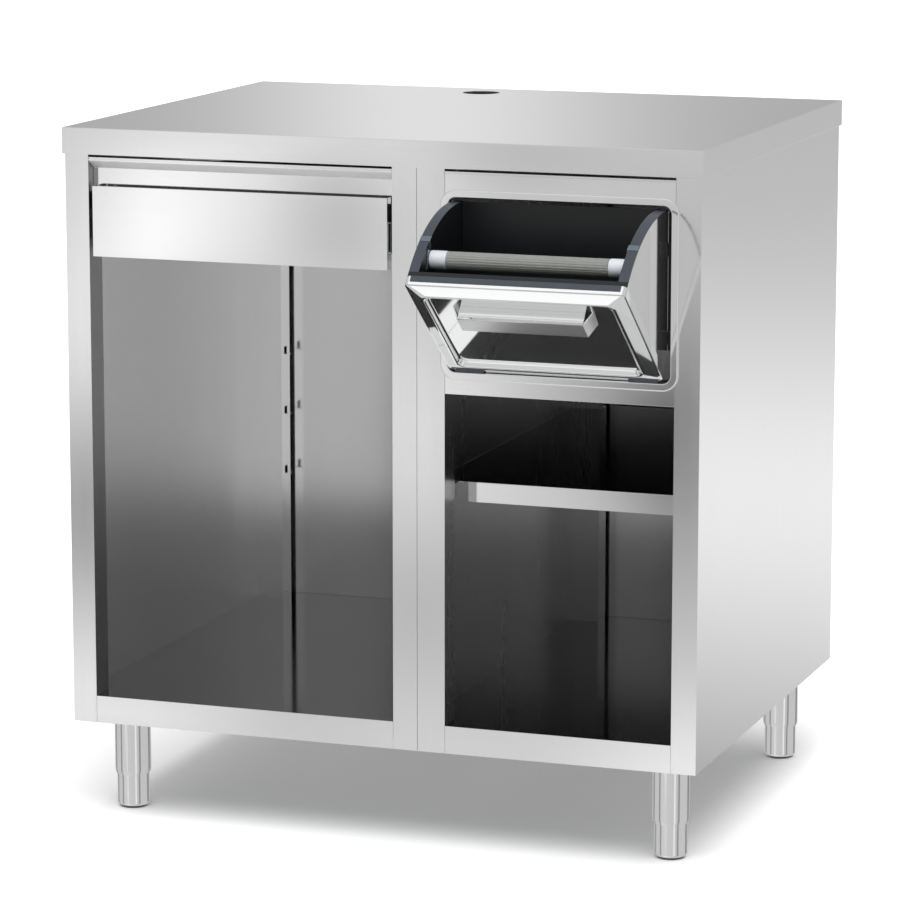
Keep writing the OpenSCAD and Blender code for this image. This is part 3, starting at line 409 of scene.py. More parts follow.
@dataclass(frozen=True)
class Moulded:
    """A moulded or extruded plastic or rubber with a fine grain."""

    RELIEF = 0.4

    name: str
    light: Colour
    dark: Colour
    smooth: float
    rough: float
    grain: float = 1600.0
    depth: float = 0.00008

    def material(self) -> Material:
        """Builds the material.

        Returns:
            The material.
        """
        material, wire, shader, place = new_material(self.name)
        moulding = wire.add("ShaderNodeGroup", node_tree=EFFECTS.moulding)
        wire.feed(place, moulding.inputs["Vector"])
        wire.feed(self.grain, moulding.inputs["Grain Scale"])
        mottle = moulding.outputs["Mottle"]
        wire.feed(wire.blended(mottle, self.dark, self.light), shader.inputs["Base Color"])
        wire.feed(wire.ranged(mottle, self.smooth, self.rough), shader.inputs["Roughness"])
        wire.bumped(shader, moulding.outputs["Grain"], self.RELIEF, self.depth)
        return material


@dataclass(frozen=True)
class Chipboard:
    """The pressed board under the worktop's sheet."""

    CHIP_SHARE, FIBRE_SHARE = 0.8, 0.6
    RELIEF = 0.5

    name: str
    light: Colour
    dark: Colour
    smooth: float = 0.75
    rough: float = 0.95
    chips: float = 260.0
    fibres: float = 900.0
    depth: float = 0.0004

    def material(self) -> Material:
        """Builds the material.

        Returns:
            The material.
        """
        material, wire, shader, place = new_material(self.name)
        chips = wire.textured(Texture.CELLS, place, self.chips, Randomness=1.0)
        fibres = wire.textured(Texture.NOISE, place, self.fibres, Detail=5.0)
        mask = wire.maths("MULTIPLY_ADD", fibres.outputs["Fac"], self.FIBRE_SHARE,
                          wire.maths("MULTIPLY", chips.outputs["Distance"], self.CHIP_SHARE))
        wire.feed(wire.blended(mask, self.dark, self.light), shader.inputs["Base Color"])
        wire.feed(wire.ranged(mask, self.smooth, self.rough), shader.inputs["Roughness"])
        wire.bumped(shader, mask, self.RELIEF, self.depth)
        return material


class Palette:
    """Every finish of the cabinet, each built once."""

    def __init__(self) -> None:
        """Builds the materials."""
        self._satin_steels()
        self._bright_steels()
        self._other_finishes()

    def _satin_steels(self) -> None:
        """Builds the outer sheets' steel, by the way of its lines, and lighter and darker copies
        of it for the bays: painted light and painted shade.
        """
        satin = (grey(0.87), grey(0.81), 0.06, 0.11)
        self.satin_x = Steel("satin_steel_across", *satin).material()
        self.satin_y = Steel("satin_steel_front_to_back", *satin, Grain.ALONG_Y).material()
        self.satin_z = Steel("satin_steel_upright", *satin, Grain.ALONG_Z).material()
        # Lighter and darker copies of the outer sheets' steel for faces inside the bays: the
        # walls, the left post's return and the right upright are painted shade, and the backs are
        # painted light.
        self.shaded_left_wall = self._painted_bay_steel("left_bay_wall_painted_shade", 0.74, 0.68, 0.20)
        self.lit_left_back = self._painted_bay_steel("left_bay_back_painted_light", 0.97, 0.93, 0.12)
        self.shaded_right_wall = self._painted_bay_steel("right_bay_wall_painted_shade", 0.46, 0.40, 0.22)
        self.lit_right_back = self._painted_bay_steel("right_bay_back_painted_light", 0.92, 0.86, 0.13)
        self.shaded_left_return = self._painted_bay_steel("left_post_return_painted_shade", 0.34, 0.28, 0.25)
        self.shaded_right_upright = self._painted_bay_steel("right_bay_upright_painted_shade", 0.30, 0.25, 0.20)

    @staticmethod
    def _painted_bay_steel(name: str, light: float, dark: float, smooth: float) -> Material:
        """Builds a copy of the satin steel at the given levels for faces inside a bay, painted
        light where lighter and painted shade where darker.
        """
        return Steel(name, grey(light), grey(dark), smooth, smooth + 0.09, Grain.ALONG_Z,
                     lines=500.0, depth=0.000001, scatter=0.04).material()

    def _bright_steels(self) -> None:
        """Builds the softer, the polished and the mirror steels."""
        # The lip steel is the rails' steel made lighter and more scattering: painted light on the
        # sloping lip.
        self.lip = Steel("soft_satin_lip_painted_light", grey(0.95), grey(0.88), 0.40, 0.48,
                         scatter=0.35).material()
        self.soft_x = Steel("soft_satin_handle", grey(0.87), grey(0.81), 0.25, 0.32).material()
        # The floor steel is the same steel made dark: painted shade on the bays' floors and the
        # shelf's broad faces.
        self.shaded_floor_y = Steel("polished_floor_painted_shade", grey(0.36), grey(0.30), 0.06, 0.11,
                             Grain.ALONG_Y, lines=600.0, depth=0.000001, scatter=0.0,
                             edge=0.5).material()
        self.polished_x = Steel("polished_steel_across", grey(0.91), grey(0.86), 0.05, 0.09,
                                depth=0.000004).material()
        self.polished_z = Steel("polished_steel_upright", grey(0.90), grey(0.85), 0.05, 0.10,
                                Grain.ALONG_Z, depth=0.000004).material()
        self.mirror = Steel("mirror_steel", (0.93, 0.935, 0.94), (0.90, 0.905, 0.91), 0.03, 0.07,
                            lines=900.0, depth=0.000001).material()

    def _other_finishes(self) -> None:
        """Builds the plated, moulded and pressed finishes."""
        self.zinc = Steel("zinc_plate", (0.66, 0.68, 0.70), (0.50, 0.52, 0.55), 0.26, 0.46,
                          lines=600.0, depth=0.00001, patches=14.0).material()
        self.board = Chipboard("pressed_board", (0.58, 0.44, 0.28), (0.36, 0.25, 0.14)).material()
        self.black = Moulded("black_moulding", (0.009, 0.010, 0.012), (0.005, 0.006, 0.007),
                             0.30, 0.42).material()
        self.dark = Moulded("dark_moulding", (0.045, 0.055, 0.07), (0.03, 0.036, 0.048),
                            0.3, 0.42).material()
        # The rim plastic is a lighter, blue-grey copy of the tub's black: painted light on the
        # tub's rim.
        self.rim = Moulded("blue_grey_rim_painted_light", (0.050, 0.060, 0.075), (0.040, 0.048, 0.062),
                           0.35, 0.5).material()
        self.bracket = Steel("blue_grey_bracket", (0.30, 0.34, 0.40), (0.24, 0.28, 0.34),
                             0.2, 0.3, Grain.ALONG_Z).material()
        self.pad = Moulded("black_stop_pad", grey(0.006), grey(0.003), 0.6, 0.8).material()
        self.rubber = Moulded("grey_rubber", (0.30, 0.31, 0.29), (0.24, 0.25, 0.235), 0.45, 0.6,
                              grain=2600.0).material()
        self.nylon = Moulded("white_nylon", (0.74, 0.76, 0.80), (0.66, 0.68, 0.72),
                             0.22, 0.34).material()


@dataclass(frozen=True)
class Rounding:
    """How a folded or moulded piece's edges are rounded, in millimetres.

    Outside is the radius outside a fold and inside the one inside it. Edges of faces narrower
    than thin are sheet edges, which get their own small radius, edge, or none. An edge is rounded
    where its faces turn by more than angle, in degrees.
    """

    outside: float = 1.6
    inside: float = 0.5
    thin: float = 2.2
    edge: float = 0.0
    steps: int = 3
    angle: float = 50.0

    def _kind(self, edge: bmesh.types.BMEdge) -> Fold:
        """Says which round an edge takes.

        Args:
            edge: The edge.

        Returns:
            Its kind.
        """
        if len(edge.link_faces) != 2 or edge.calc_face_angle(0) < math.radians(self.angle):
            return Fold.FLAT
        start = edge.verts[0].co
        along = (edge.verts[1].co - start).normalized()
        for face in edge.link_faces:
            breadth = max((v.co - start - (v.co - start).dot(along) * along).length
                          for v in face.verts)
            if breadth < self.thin * MM:
                return Fold.SHEET_EDGE
        return Fold.OUTSIDE if edge.is_convex else Fold.INSIDE

    def apply(self, solid: bmesh.types.BMesh) -> None:
        """Rounds a solid's edges in place.

        Args:
            solid: The solid.
        """
        radii = ((Fold.INSIDE, self.inside), (Fold.OUTSIDE, self.outside),
                 (Fold.SHEET_EDGE, self.edge))
        for kind, radius in radii:
            if radius <= 0:
                continue
            edges = [edge for edge in solid.edges if self._kind(edge) == kind]
            if edges:
                bmesh.ops.bevel(solid, geom=edges, offset=radius * MM, offset_type="OFFSET",
                                segments=self.steps, profile=0.5, affect="EDGES",
                                clamp_overlap=True, loop_slide=True)


@dataclass(frozen=True)
class FaceFinish:
    """A second finish for the faces that a test picks by their middle and normal."""

    finish: Material
    picks: Callable[[Vector, Vector], bool]

    def apply(self, mesh: Mesh) -> None:
        """Gives the picked faces of a piece the finish.

        Args:
            mesh: The piece's mesh.
        """
        index = len(mesh.materials)
        mesh.materials.append(self.finish)
        for face in mesh.polygons:
            if self.picks(face.center, face.normal):
                face.material_index = index


def linked(name: str, mesh: Mesh) -> Object:
    """Puts a mesh in the scene.

    Args:
        name: The object's name.
        mesh: Its mesh.

    Returns:
        The object.
    """
    piece = bpy.data.objects.new(name, mesh)
    bpy.context.scene.collection.objects.link(piece)
    return piece


def shown(name: str, solid: bmesh.types.BMesh, finish: Material, faces: tuple[FaceFinish, ...],
          sharp: float) -> Object:
    """Makes a solid a piece of the scene, smooth across its rounds and flat on its flats.

    Args:
        name: The piece's name.
        solid: The solid, which is used up.
        finish: Its material.
        faces: Other finishes for some of its faces.
        sharp: Edges sharper than this, in degrees, stay sharp.

    Returns:
        The piece.
    """
    mesh = bpy.data.meshes.new(name)
    solid.to_mesh(mesh)
    solid.free()
    mesh.materials.append(finish)
    for special in faces:
        special.apply(mesh)
    piece = linked(name, mesh)
    mesh.polygons.foreach_set("use_smooth", [True] * len(mesh.polygons))
    mesh.set_sharp_from_angle(angle=math.radians(sharp))
    weighted = piece.modifiers.new("flat faces", "WEIGHTED_NORMAL")
    weighted.keep_sharp = True
    return piece


def cleaned(node: str) -> bmesh.types.BMesh:
    """Copies a node's mesh, welded and with each flat face in one piece.

    Args:
        node: The node.

    Returns:
        The copy.
    """
    solid = bmesh.new()
    solid.from_mesh(frame["nodes"][node].data)
    bmesh.ops.remove_doubles(solid, verts=solid.verts, dist=WELD)
    bmesh.ops.dissolve_limit(solid, angle_limit=FLAT, verts=solid.verts, edges=solid.edges)
    return solid


def rounded(node: str, name: str, rounding: Rounding, finish: Material, slot: str,
            *faces: FaceFinish) -> None:
    """Makes a piece with rounded folds in place of a CAD node.

    Args:
        node: The node that the piece stands for.
        name: The piece's name.
        rounding: How its edges are rounded.
        finish: Its material.
        slot: The record's slot that the finish belongs to; not used.
        faces: Other finishes for some of its faces.
    """
    solid = cleaned(node)
    rounding.apply(solid)
    piece = shown(name, solid, finish, faces, 40.0)
    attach(piece, frame["nodes"][node]["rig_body"])
    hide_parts(node)
    LOG.info("%s stands for %s", name, node)


def dressed(node: str, finish: Material) -> None:
    """Gives a CAD node that keeps its shape a finish.

    Args:
        node: The node.
        finish: Its material.
    """
    for slot in frame["nodes"][node].material_slots:
        slot.material = finish
    LOG.info("%s keeps its shape", node)


def skinned(name: str, loops: list[list[Vector]], finish: Material, ring: bool = False) -> Object:
    """Makes a piece from a row of closed loops with the same number of points.

    Args:
        name: The piece's name.
        loops: The loops, from one end of the piece to the other.
        finish: The piece's material.
        ring: Whether the last loop joins the first; the end loops are filled otherwise.

    Returns:
        The piece.
    """
    solid = bmesh.new()
    rows = [[solid.verts.new(point) for point in loop] for loop in loops]
    pairs = list(zip(rows, rows[1:])) + ([(rows[-1], rows[0])] if ring else [])
    for one, two in pairs:
        for i in range(len(one)):
            j = (i + 1) % len(one)
            solid.faces.new((one[i], one[j], two[j], two[i]))
    if not ring:
        solid.faces.new(rows[0])
        solid.faces.new(rows[-1])
    bmesh.ops.recalc_face_normals(solid, faces=solid.faces)
    LOG.info("%s is added", name)
    return shown(name, solid, finish, (), 50.0)


def bar(name: str, low: Vector, high: Vector, place: Matrix, finish: Material) -> Object:
    """Makes a straight square bar.

    Args:
        name: The bar's name.
        low: Its lowest corner.
        high: Its highest corner.
        place: Where its axes go.
        finish: Its material.

    Returns:
        The bar.
    """
    section = ((low.y, low.z), (high.y, low.z), (high.y, high.z), (low.y, high.z))
    loops = [[place @ Vector((x, y, z)) for y, z in section] for x in (low.x, high.x)]
    return skinned(name, loops, finish)


@dataclass
class Assembly:
    """A sub-assembly, which takes its finishes from the palette."""

    palette: Palette


@dataclass
class Worktop(Assembly):
    """The folded worktop with its board and stiffeners."""

    edge: Rounding = Rounding(outside=2.4, inside=1.0, steps=4)

    def build(self) -> None:
        """Makes the worktop's pieces."""
        rounded("worktop", "worktop_sheet", self.edge, self.palette.satin_x, "steel_satin")
        dressed("worktop_board", self.palette.board)
        dressed("worktop_stiffeners", self.palette.zinc)


@dataclass
class Carcass(Assembly):
    """The folded walls, backs, floors and rear uprights of both modules.

    Sizes are in millimetres: how far back a wall's post reaches, how thick its front face is with
    its fold, and how far a floor's upper face may lie under its highest point.
    """

    fold: Rounding = Rounding(outside=1.6, inside=0.5)
    flat: Rounding = Rounding(outside=0.3, inside=0.0, thin=0.5, steps=1)
    post_depth: float = 70.0
    post_face: float = 4.0
    floor_skin: float = 0.3

    def _painted_insides(self, wall: str, finish: Material,
                 post: Material) -> tuple[FaceFinish, FaceFinish]:
        """Picks a wall's broad faces that look into its bay, and its post's return, for the copies
        of the steel with painted light and painted shade.

        Args:
            wall: The wall's node.
            finish: The finish inside the bay, a lighter or darker copy of the steel (painted light
                or painted shade).
            post: The finish of the post's return, a lighter or darker copy of the steel (painted
                light or painted shade).

        Returns:
            The finishes of both.
        """
        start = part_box(wall)[0].y
        inward = 1.0 if wall in ("side_panel_left", "partition_right") else -1.0
        face, front = start + self.post_face * MM, start + self.post_depth * MM
        return (FaceFinish(finish, lambda middle, normal: (
                    normal.x * inward > FACING and middle.y > front)),
                FaceFinish(post, lambda middle, normal: (
                    normal.x * inward > FACING and face < middle.y < front)))

    def build(self) -> None:
        """Makes the carcass's pieces."""
        palette = self.palette
        # The left side panel and the right partition, with the left post's return, get darker
        # steel as painted shade; the left partition and the right side panel get lighter steel as
        # painted light.
        for wall, finish, post in (
                ("side_panel_left", palette.shaded_left_wall, palette.shaded_left_return),
                ("partition_left", palette.lit_left_back, palette.lit_left_back),
                ("partition_right", palette.shaded_right_wall, palette.shaded_right_wall),
                ("side_panel_right", palette.lit_right_back, palette.lit_right_back)):
            rounded(wall, wall + "_sheet", self.fold, palette.satin_z, "steel_satin",
                    *self._painted_insides(wall, finish, post))
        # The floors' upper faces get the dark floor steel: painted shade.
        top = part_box("bottom_shelf_left")[1].z - self.floor_skin * MM
        shaded_floor_faces = FaceFinish(palette.shaded_floor_y, lambda middle, normal: (
            normal.z > FACING and middle.z > top))
        # The back panels' fronts get lighter steel as painted light. The right uprights get darker
        # steel as painted shade; the uprights' fronts get painted light on the left and painted
        # shade on the right.
        for side, lit_back, upright, face in (
                ("left", palette.lit_left_back, palette.satin_z, palette.lit_left_back),
                ("right", palette.lit_right_back, palette.shaded_right_upright, palette.shaded_right_wall)):
            ahead = FaceFinish(lit_back, lambda middle, normal: normal.y < -FACING)
            edge = FaceFinish(face, lambda middle, normal: normal.y < -FACING)
            rounded("bottom_shelf_" + side, "floor_sheet_" + side, self.fold, palette.satin_x,
                    "steel_satin", shaded_floor_faces)
            rounded("rear_uprights_" + side, "slotted_uprights_" + side, self.fold, upright,
                    "steel_satin", edge)
            rounded("back_panel_" + side, "back_sheet_" + side, self.flat, palette.satin_z,
                    "steel_satin", ahead)
        dressed("leg_channels", palette.zinc)
        dressed("rear_rails", palette.satin_x)


@dataclass
class FrontRails(Assembly):
    """The rails over the drawer and over and under the bin.

    The two upper rails carry a strip, whose sizes are in millimetres from the rail's front and
    top. Slope is the least part of a normal, forwards and downwards, of the sloping lip's faces.
    """

    fold: Rounding = Rounding(outside=1.4, inside=0.4)
    slope: float = 0.15
    strip_front: float = 0.6
    strip_back: float = 8.0
    strip_bottom: float = 0.05
    strip_top: float = 3.2

    def build(self) -> None:
        """Makes the rails."""
        # The sloping lip's faces get the lighter lip steel: painted light.
        lit_sloping = FaceFinish(self.palette.lip, lambda middle, normal: (
            normal.y < -self.slope and normal.z < -self.slope))
        for rail in ("drawer_rail", "top_rail_right", "hopper_rail"):
            rounded(rail, rail + "_sheet", self.fold, self.palette.polished_x, "steel_polished",
                    lit_sloping)
        for rail in ("drawer_rail", "top_rail_right"):
            low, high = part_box(rail)
            strip = bar(
                rail + "_upper_strip",
                Vector((low.x, low.y + self.strip_front * MM, high.z + self.strip_bottom * MM)),
                Vector((high.x, low.y + self.strip_back * MM, high.z + self.strip_top * MM)),
                Matrix(), self.palette.satin_x)
            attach(strip, frame["nodes"][rail]["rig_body"])


@dataclass
class Drawer(Assembly):
    """The drawer front, its box and its telescopic runners."""

    fold: Rounding = Rounding(outside=1.8, inside=0.5)

    def build(self) -> None:
        """Makes the drawer's pieces."""
        rounded("drawer_front", "drawer_front_sheet", self.fold, self.palette.polished_x,
                "steel_polished")
        rounded("drawer_box", "drawer_box_sheet", self.fold, self.palette.satin_y, "steel_satin")
        for node in ("runner_brackets", "runner_outers", "runner_middles", "runner_inners"):
            dressed(node, self.palette.zinc)
        dressed("runner_stops", self.palette.black)


@dataclass
class LooseShelf(Assembly):
    """The loose shelf and the clips it rests on."""

    fold: Rounding = Rounding(outside=1.6, inside=0.5)
    clip: Rounding = Rounding(outside=1.0, inside=0.3, thin=1.8)

    def build(self) -> None:
        """Makes the shelf and its clips."""
        # The shelf's broad faces get the dark floor steel: painted shade.
        broad = FaceFinish(self.palette.shaded_floor_y, lambda middle, normal: abs(normal.z) > FACING)
        rounded("shelf", "shelf_sheet", self.fold, self.palette.polished_x, "steel_polished",
                broad)
        rounded("shelf_clips", "shelf_clip_set", self.clip, self.palette.zinc, "steel_zinc")


@dataclass
class Bin(Assembly):
    """The tilt-out bin: frame, pressed front, handle, carrier and tub.

    Sizes are in millimetres. The front's own are measured from the hinge line, across from its
    middle, up along it and out of it. The border's loops go inwards, each with its inset from the
    front's outline, its height over the front and the radius of its corners.
    """

    bead: Rounding = Rounding(outside=2.0, inside=0.3)
    press: Rounding = Rounding(outside=2.2, inside=1.6, steps=4)
    bent: Rounding = Rounding(outside=2.0, inside=0.6, thin=2.0, edge=0.3, steps=4, angle=20)
    cut: Rounding = Rounding(outside=1.2, inside=0.3)
    moulded: Rounding = Rounding(outside=1.0, inside=1.0, thin=1.5, edge=0.6)
    hinge: tuple[float, float, float] = (280.5, -298.714, 732.1)
    open_angle: float = 52.0
    half: float = 163.0
    bottom: float = 6.0
    top: float = 249.1
    front: float = 3.7
    border: tuple[tuple[float, float, float], ...] = (
        (1.0, 0.06, 5.0), (1.0, 0.3, 5.0), (3.2, 0.8, 5.0), (18.0, 7.4, 10.0), (20.5, 8.1, 12.0),
        (22.5, 8.1, 13.0), (24.0, 7.2, 14.0), (25.0, 4.0, 14.0), (26.0, 2.4, 14.0),
        (29.0, 1.4, 12.0))
    corner_steps: int = 8
    handle_half: float = 93.0
    handle_top: float = 196.1
    handle_out: float = 10.6
    web: float = 1.5
    lip_depth: float = 9.0
    lip_behind: float = 5.0
    lip_ends: float = 7.5
    lip_bottom: float = 0.06
    lip_top: float = 0.8
    rim: float = 11.0
    tab_depth: float = 4.0
    tab_from_edge: float = 30.0
    pad_past_front: float = 0.5

    def _place(self) -> Matrix:
        """Where the open bin's front is: +X across, +Y up the front, +Z out of it."""
        return (Matrix.Translation(Vector(self.hinge) * MM)
                @ Matrix.Rotation(math.radians(self.open_angle), 4, "X")
                @ Matrix.Rotation(math.pi / 2, 4, "X") @ Matrix.Scale(MM, 4))

    def _outline(self, inset: float, out: float, corner: float) -> list[Vector]:
        """Lays a loop round the front with rounded corners.

        Args:
            inset: How far inside the front's outline it runs.
            out: How far out of the front it lies.
            corner: The radius of its corners.

        Returns:
            The loop's points.
        """
        across = self.half - inset - corner
        upper, lower = self.top - inset - corner, self.bottom + inset + corner
        points = []
        for x, y, start in ((across, upper, 0), (-across, upper, 90), (-across, lower, 180),
                            (across, lower, 270)):
            for step in range(self.corner_steps + 1):
                turn = math.radians(start + 90 * step / self.corner_steps)
                points.append(Vector((x + corner * math.cos(turn), y + corner * math.sin(turn),
                                      out)))
        return points

    def _frame(self) -> None:
        """Makes the frame, with black tabs behind its bead, and the hinge."""
        low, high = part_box("hopper_frame")
        behind, clear = low.y + self.tab_depth * MM, self.tab_from_edge * MM
        tabs = FaceFinish(self.palette.pad, lambda middle, normal: (
            middle.y > behind and (normal.y < -FACING or abs(normal.z) > FACING)
            and abs(middle.z - low.z) > clear and abs(middle.z - high.z) > clear))
        rounded("hopper_frame", "bin_frame_bead", self.bead, self.palette.polished_x,
                "steel_mirror", tabs)
        dressed("hinge_blocks", self.palette.dark)
        dressed("hinge_pin", self.palette.zinc)

    def _front(self) -> None:
        """Makes the front with its sloping border and its sunk field."""
        rounded("bin_front", "bin_front_pressing", self.press, self.palette.mirror, "steel_mirror")
        place = self._place()
        loops = [[place @ point for point in self._outline(inset, self.front + out, corner)]
                 for inset, out, corner in self.border]
        field = skinned("bin_front_border_and_field", loops, self.palette.mirror)
        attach(field, "bin")

    def _handle(self) -> None:
        """Makes the handle and the web between its upper flange and the front."""
        place = self._place()
        up = place.to_3x3().normalized() @ Vector((0, 1, 0))
        upper = FaceFinish(self.palette.polished_x, lambda middle, normal: normal.dot(up) > FACING)
        rounded("bin_handle", "bin_handle_strip", self.bent, self.palette.soft_x, "steel_mirror",
                upper)
        web = bar("bin_handle_top_web",
                  Vector((-self.handle_half, self.handle_top - self.web, self.front + self.web)),
                  Vector((self.handle_half, self.handle_top, self.handle_out)),
                  place, self.palette.polished_x)
        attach(web, "bin")

    def _tub(self) -> None:
        """Makes the tub's lip, the quadrants that carry the tub, and the tub."""
        place = self._place()
        ends, ahead = self.half - self.lip_ends, self.front - self.lip_behind
        # The rim lip takes the lighter rim plastic: painted light.
        lip = bar("bin_tub_rim_lip",
                  Vector((-ends, self.top + self.lip_bottom, ahead - self.lip_depth)),
                  Vector((ends, self.top + self.lip_top, ahead)), place, self.palette.rim)
        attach(lip, "bin")
        low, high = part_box("bin_front")
        left, right = low.x - self.pad_past_front * MM, high.x + self.pad_past_front * MM
        pads = FaceFinish(self.palette.pad, lambda middle, normal: (
            normal.y < -FACING and (middle.x > right or middle.x < left)))
        rounded("bin_carrier", "bin_side_quadrants", self.cut, self.palette.polished_z,
                "steel_polished", pads)
        dressed("bin_rivets", self.palette.zinc)
        # The tub's rim faces take the lighter rim plastic: painted light.
        local, inner = place.inverted(), self.half - self.rim
        rim = FaceFinish(self.palette.rim, lambda middle, normal: abs((local @ middle).x) > inner)
        rounded("bin_tub", "bin_tub_moulding", self.moulded, self.palette.black,
                "plastic_black", rim)

    def build(self) -> None:
        """Makes the bin's pieces."""
        self._frame()
        self._front()
        self._handle()
        self._tub()


@dataclass
class KnockBar(Assembly):
    """The bar that used grounds are knocked out on: fluted sleeve, end caps, core and brackets.

    Groove is the flutes' depth, and gap the sleeve's running gap round the core, in millimetres.
    """

    cap: Rounding = Rounding(outside=2.5, inside=0.0, steps=4)
    bracket: Rounding = Rounding(outside=1.0, inside=0.4, thin=1.0)
    flutes: int = 20
    flute_steps: int = 10
    groove: float = 0.6
    gap: float = 0.02

    def _ring(self, place: Matrix, x: float, radius: float, groove: float) -> list[Vector]:
        """Lays a ring round the bar.

        Args:
            place: Where the bar's axis is.
            x: The ring's place along it.
            radius: The ring's radius.
            groove: The depth of its flutes.

        Returns:
            The ring's points.
        """
        points = []
        for step in range(self.flutes * self.flute_steps):
            turn = 2 * math.pi * step / (self.flutes * self.flute_steps)
            reach = radius - groove * max(0.0, math.cos(self.flutes * turn)) ** 3
            points.append(place @ Vector((x, math.cos(turn) * reach, math.sin(turn) * reach)))
        return points

    def _sleeve(self) -> None:
        """Makes the sleeve with its lengthwise flutes."""
        low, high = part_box("knock_sleeve")
        core_low, core_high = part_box("knock_bar")
        outer = (high.y - low.y) / 2
        inner = (core_high.y - core_low.y) / 2 + self.gap * MM
        place = Matrix.Translation((0.0, (low.y + high.y) / 2, (low.z + high.z) / 2))
        groove = self.groove * MM
        loops = [self._ring(place, *ring) for ring in (
            (low.x, outer, groove), (high.x, outer, groove), (high.x, inner, 0.0),
            (low.x, inner, 0.0))]
        piece = skinned("knock_bar_fluted_sleeve", loops, self.palette.rubber, ring=True)
        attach(piece, "bin")
        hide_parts("knock_sleeve")

    def build(self) -> None:
        """Makes the knock bar's pieces."""
        dressed("knock_bar", self.palette.zinc)
        self._sleeve()
        rounded("knock_caps", "knock_bar_caps", self.cap, self.palette.nylon, "nylon")
        rounded("knock_brackets", "knock_bar_brackets", self.bracket, self.palette.bracket,
                "steel_mirror")


@dataclass
class Legs(Assembly):
    """Four tube legs with adjustable feet."""

    tube: Rounding = Rounding(outside=0.5, inside=0.2, thin=1.2)
    cup: Rounding = Rounding(outside=1.2, inside=0.6)
    corners: tuple[str, ...] = ("fl", "fr", "bl", "br")

    def build(self) -> None:
        """Makes the legs' pieces."""
        dressed("leg_flanges", self.palette.satin_x)
        dressed("leg_inserts", self.palette.black)
        rounded("leg_tubes", "leg_tube_set", self.tube, self.palette.polished_z, "steel_polished")
        for corner in self.corners:
            rounded("foot_cup_" + corner, "foot_sleeve_" + corner, self.cup,
                    self.palette.polished_z, "steel_polished")
            dressed("foot_stud_" + corner, self.palette.zinc)
            dressed("foot_glide_" + corner, self.palette.dark)


@dataclass
class Fixings(Assembly):
    """Bolts, screws and rivets."""

    nodes: tuple[str, ...] = ("module_bolts", "leg_bolts", "worktop_bolts", "frame_screws",
                              "runner_screws", "drawer_screws")

    def build(self) -> None:
        """Dresses the fixings."""
        for node in self.nodes:
            dressed(node, self.palette.zinc)


@dataclass(frozen=True)
class Softbox:
    """A smooth bright or dark area of the studio, as the steel mirrors it.

    Across and up are the tangents of its direction, from straight ahead or straight back, and
    breadth and height how far it spreads. Change is what it adds at its middle.
    """

    across: float
    up: float
    breadth: float
    height: float
    change: float

    def added(self, wire: Wire, across: NodeSocket, up: NodeSocket, half: NodeSocket,
              level: Term) -> NodeSocket:
        """Adds the area to the level that the steel mirrors.

        Args:
            wire: The world's wiring.
            across: The ray's tangent across.
            up: The ray's tangent upwards.
            half: 1 in the area's half of the studio and 0 in the other.
            level: The level without it.

        Returns:
            The level with it.
        """
        side = wire.maths("DIVIDE", wire.maths("SUBTRACT", across, self.across), self.breadth)
        rise = wire.maths("DIVIDE", wire.maths("SUBTRACT", up, self.up), self.height)
        apart = wire.maths("MULTIPLY_ADD", side, side, wire.maths("MULTIPLY", rise, rise))
        bell = wire.maths("EXPONENT", wire.maths("MULTIPLY", apart, -1.0))
        return wire.maths("MULTIPLY_ADD", wire.maths("MULTIPLY", bell, half), self.change, level)


@dataclass(frozen=True)
class Lamp:
    """A broad distant lamp that the steel doesn't mirror.

    Towards is the direction from the cabinet to the lamp, and spread its breadth in degrees.
    """

    name: str
    towards: tuple[float, float, float]
    strength: float
    spread: float

    def build(self, scene: Scene) -> None:
        """Hangs the lamp.

        Args:
            scene: The scene.
        """
        data = bpy.data.lights.new(self.name, "SUN")
        data.energy = self.strength
        data.angle = math.radians(self.spread)
        lamp = bpy.data.objects.new(self.name, data)
        lamp.rotation_euler = Vector(self.towards).to_track_quat("Z", "Y").to_euler()
        lamp.visible_glossy = False
        scene.collection.objects.link(lamp)


@dataclass(frozen=True)
class Ground:
    """The white floor, in metres.

    It glows by itself, less where the cabinet stands over it, within reach: a painted shadow that
    adds to the lamp's. Fall is how fast the glow falls off there.
    """

    half: float = 60.0
    under: float = 0.0002
    light: Colour = grey(0.96)
    dark: Colour = grey(0.95)
    haze: float = 0.7
    rough: float = 0.9
    glow: float = 0.50
    reach: float = 0.5
    fall: float = 1.6

    def _finish(self) -> Material:
        """Builds its material.

        Returns:
            The material.
        """
        material, wire, shader, place = new_material("studio_floor_white")
        haze = wire.textured(Texture.NOISE, place, self.haze, Detail=2.0)
        wire.feed(wire.blended(haze.outputs["Fac"], self.dark, self.light),
                  shader.inputs["Base Color"])
        wire.feed(self.rough, shader.inputs["Roughness"])
        wire.feed(0.0, shader.inputs["Specular IOR Level"])
        wire.feed(WHITE, shader.inputs["Emission Color"])
        # Painted shadow: ambient occlusion takes the glow away where the cabinet stands over the
        # floor, besides the lamp's real shadow.
        shadow_ao = wire.add("ShaderNodeAmbientOcclusion", samples=16, Distance=self.reach)
        fallen = wire.maths("POWER", shadow_ao.outputs["AO"], self.fall)
        wire.feed(wire.maths("MULTIPLY", fallen, self.glow), shader.inputs["Emission Strength"])
        return material

    def build(self) -> None:
        """Lays the floor, which the steel doesn't mirror."""
        mesh = bpy.data.meshes.new("studio_floor")
        corners = ((-1, -1), (1, -1), (1, 1), (-1, 1))
        mesh.from_pydata([(x * self.half, y * self.half, -self.under) for x, y in corners],
                         [], [(0, 1, 2, 3)])
        mesh.materials.append(self._finish())
        floor = linked("studio_floor", mesh)
        floor.visible_glossy = False


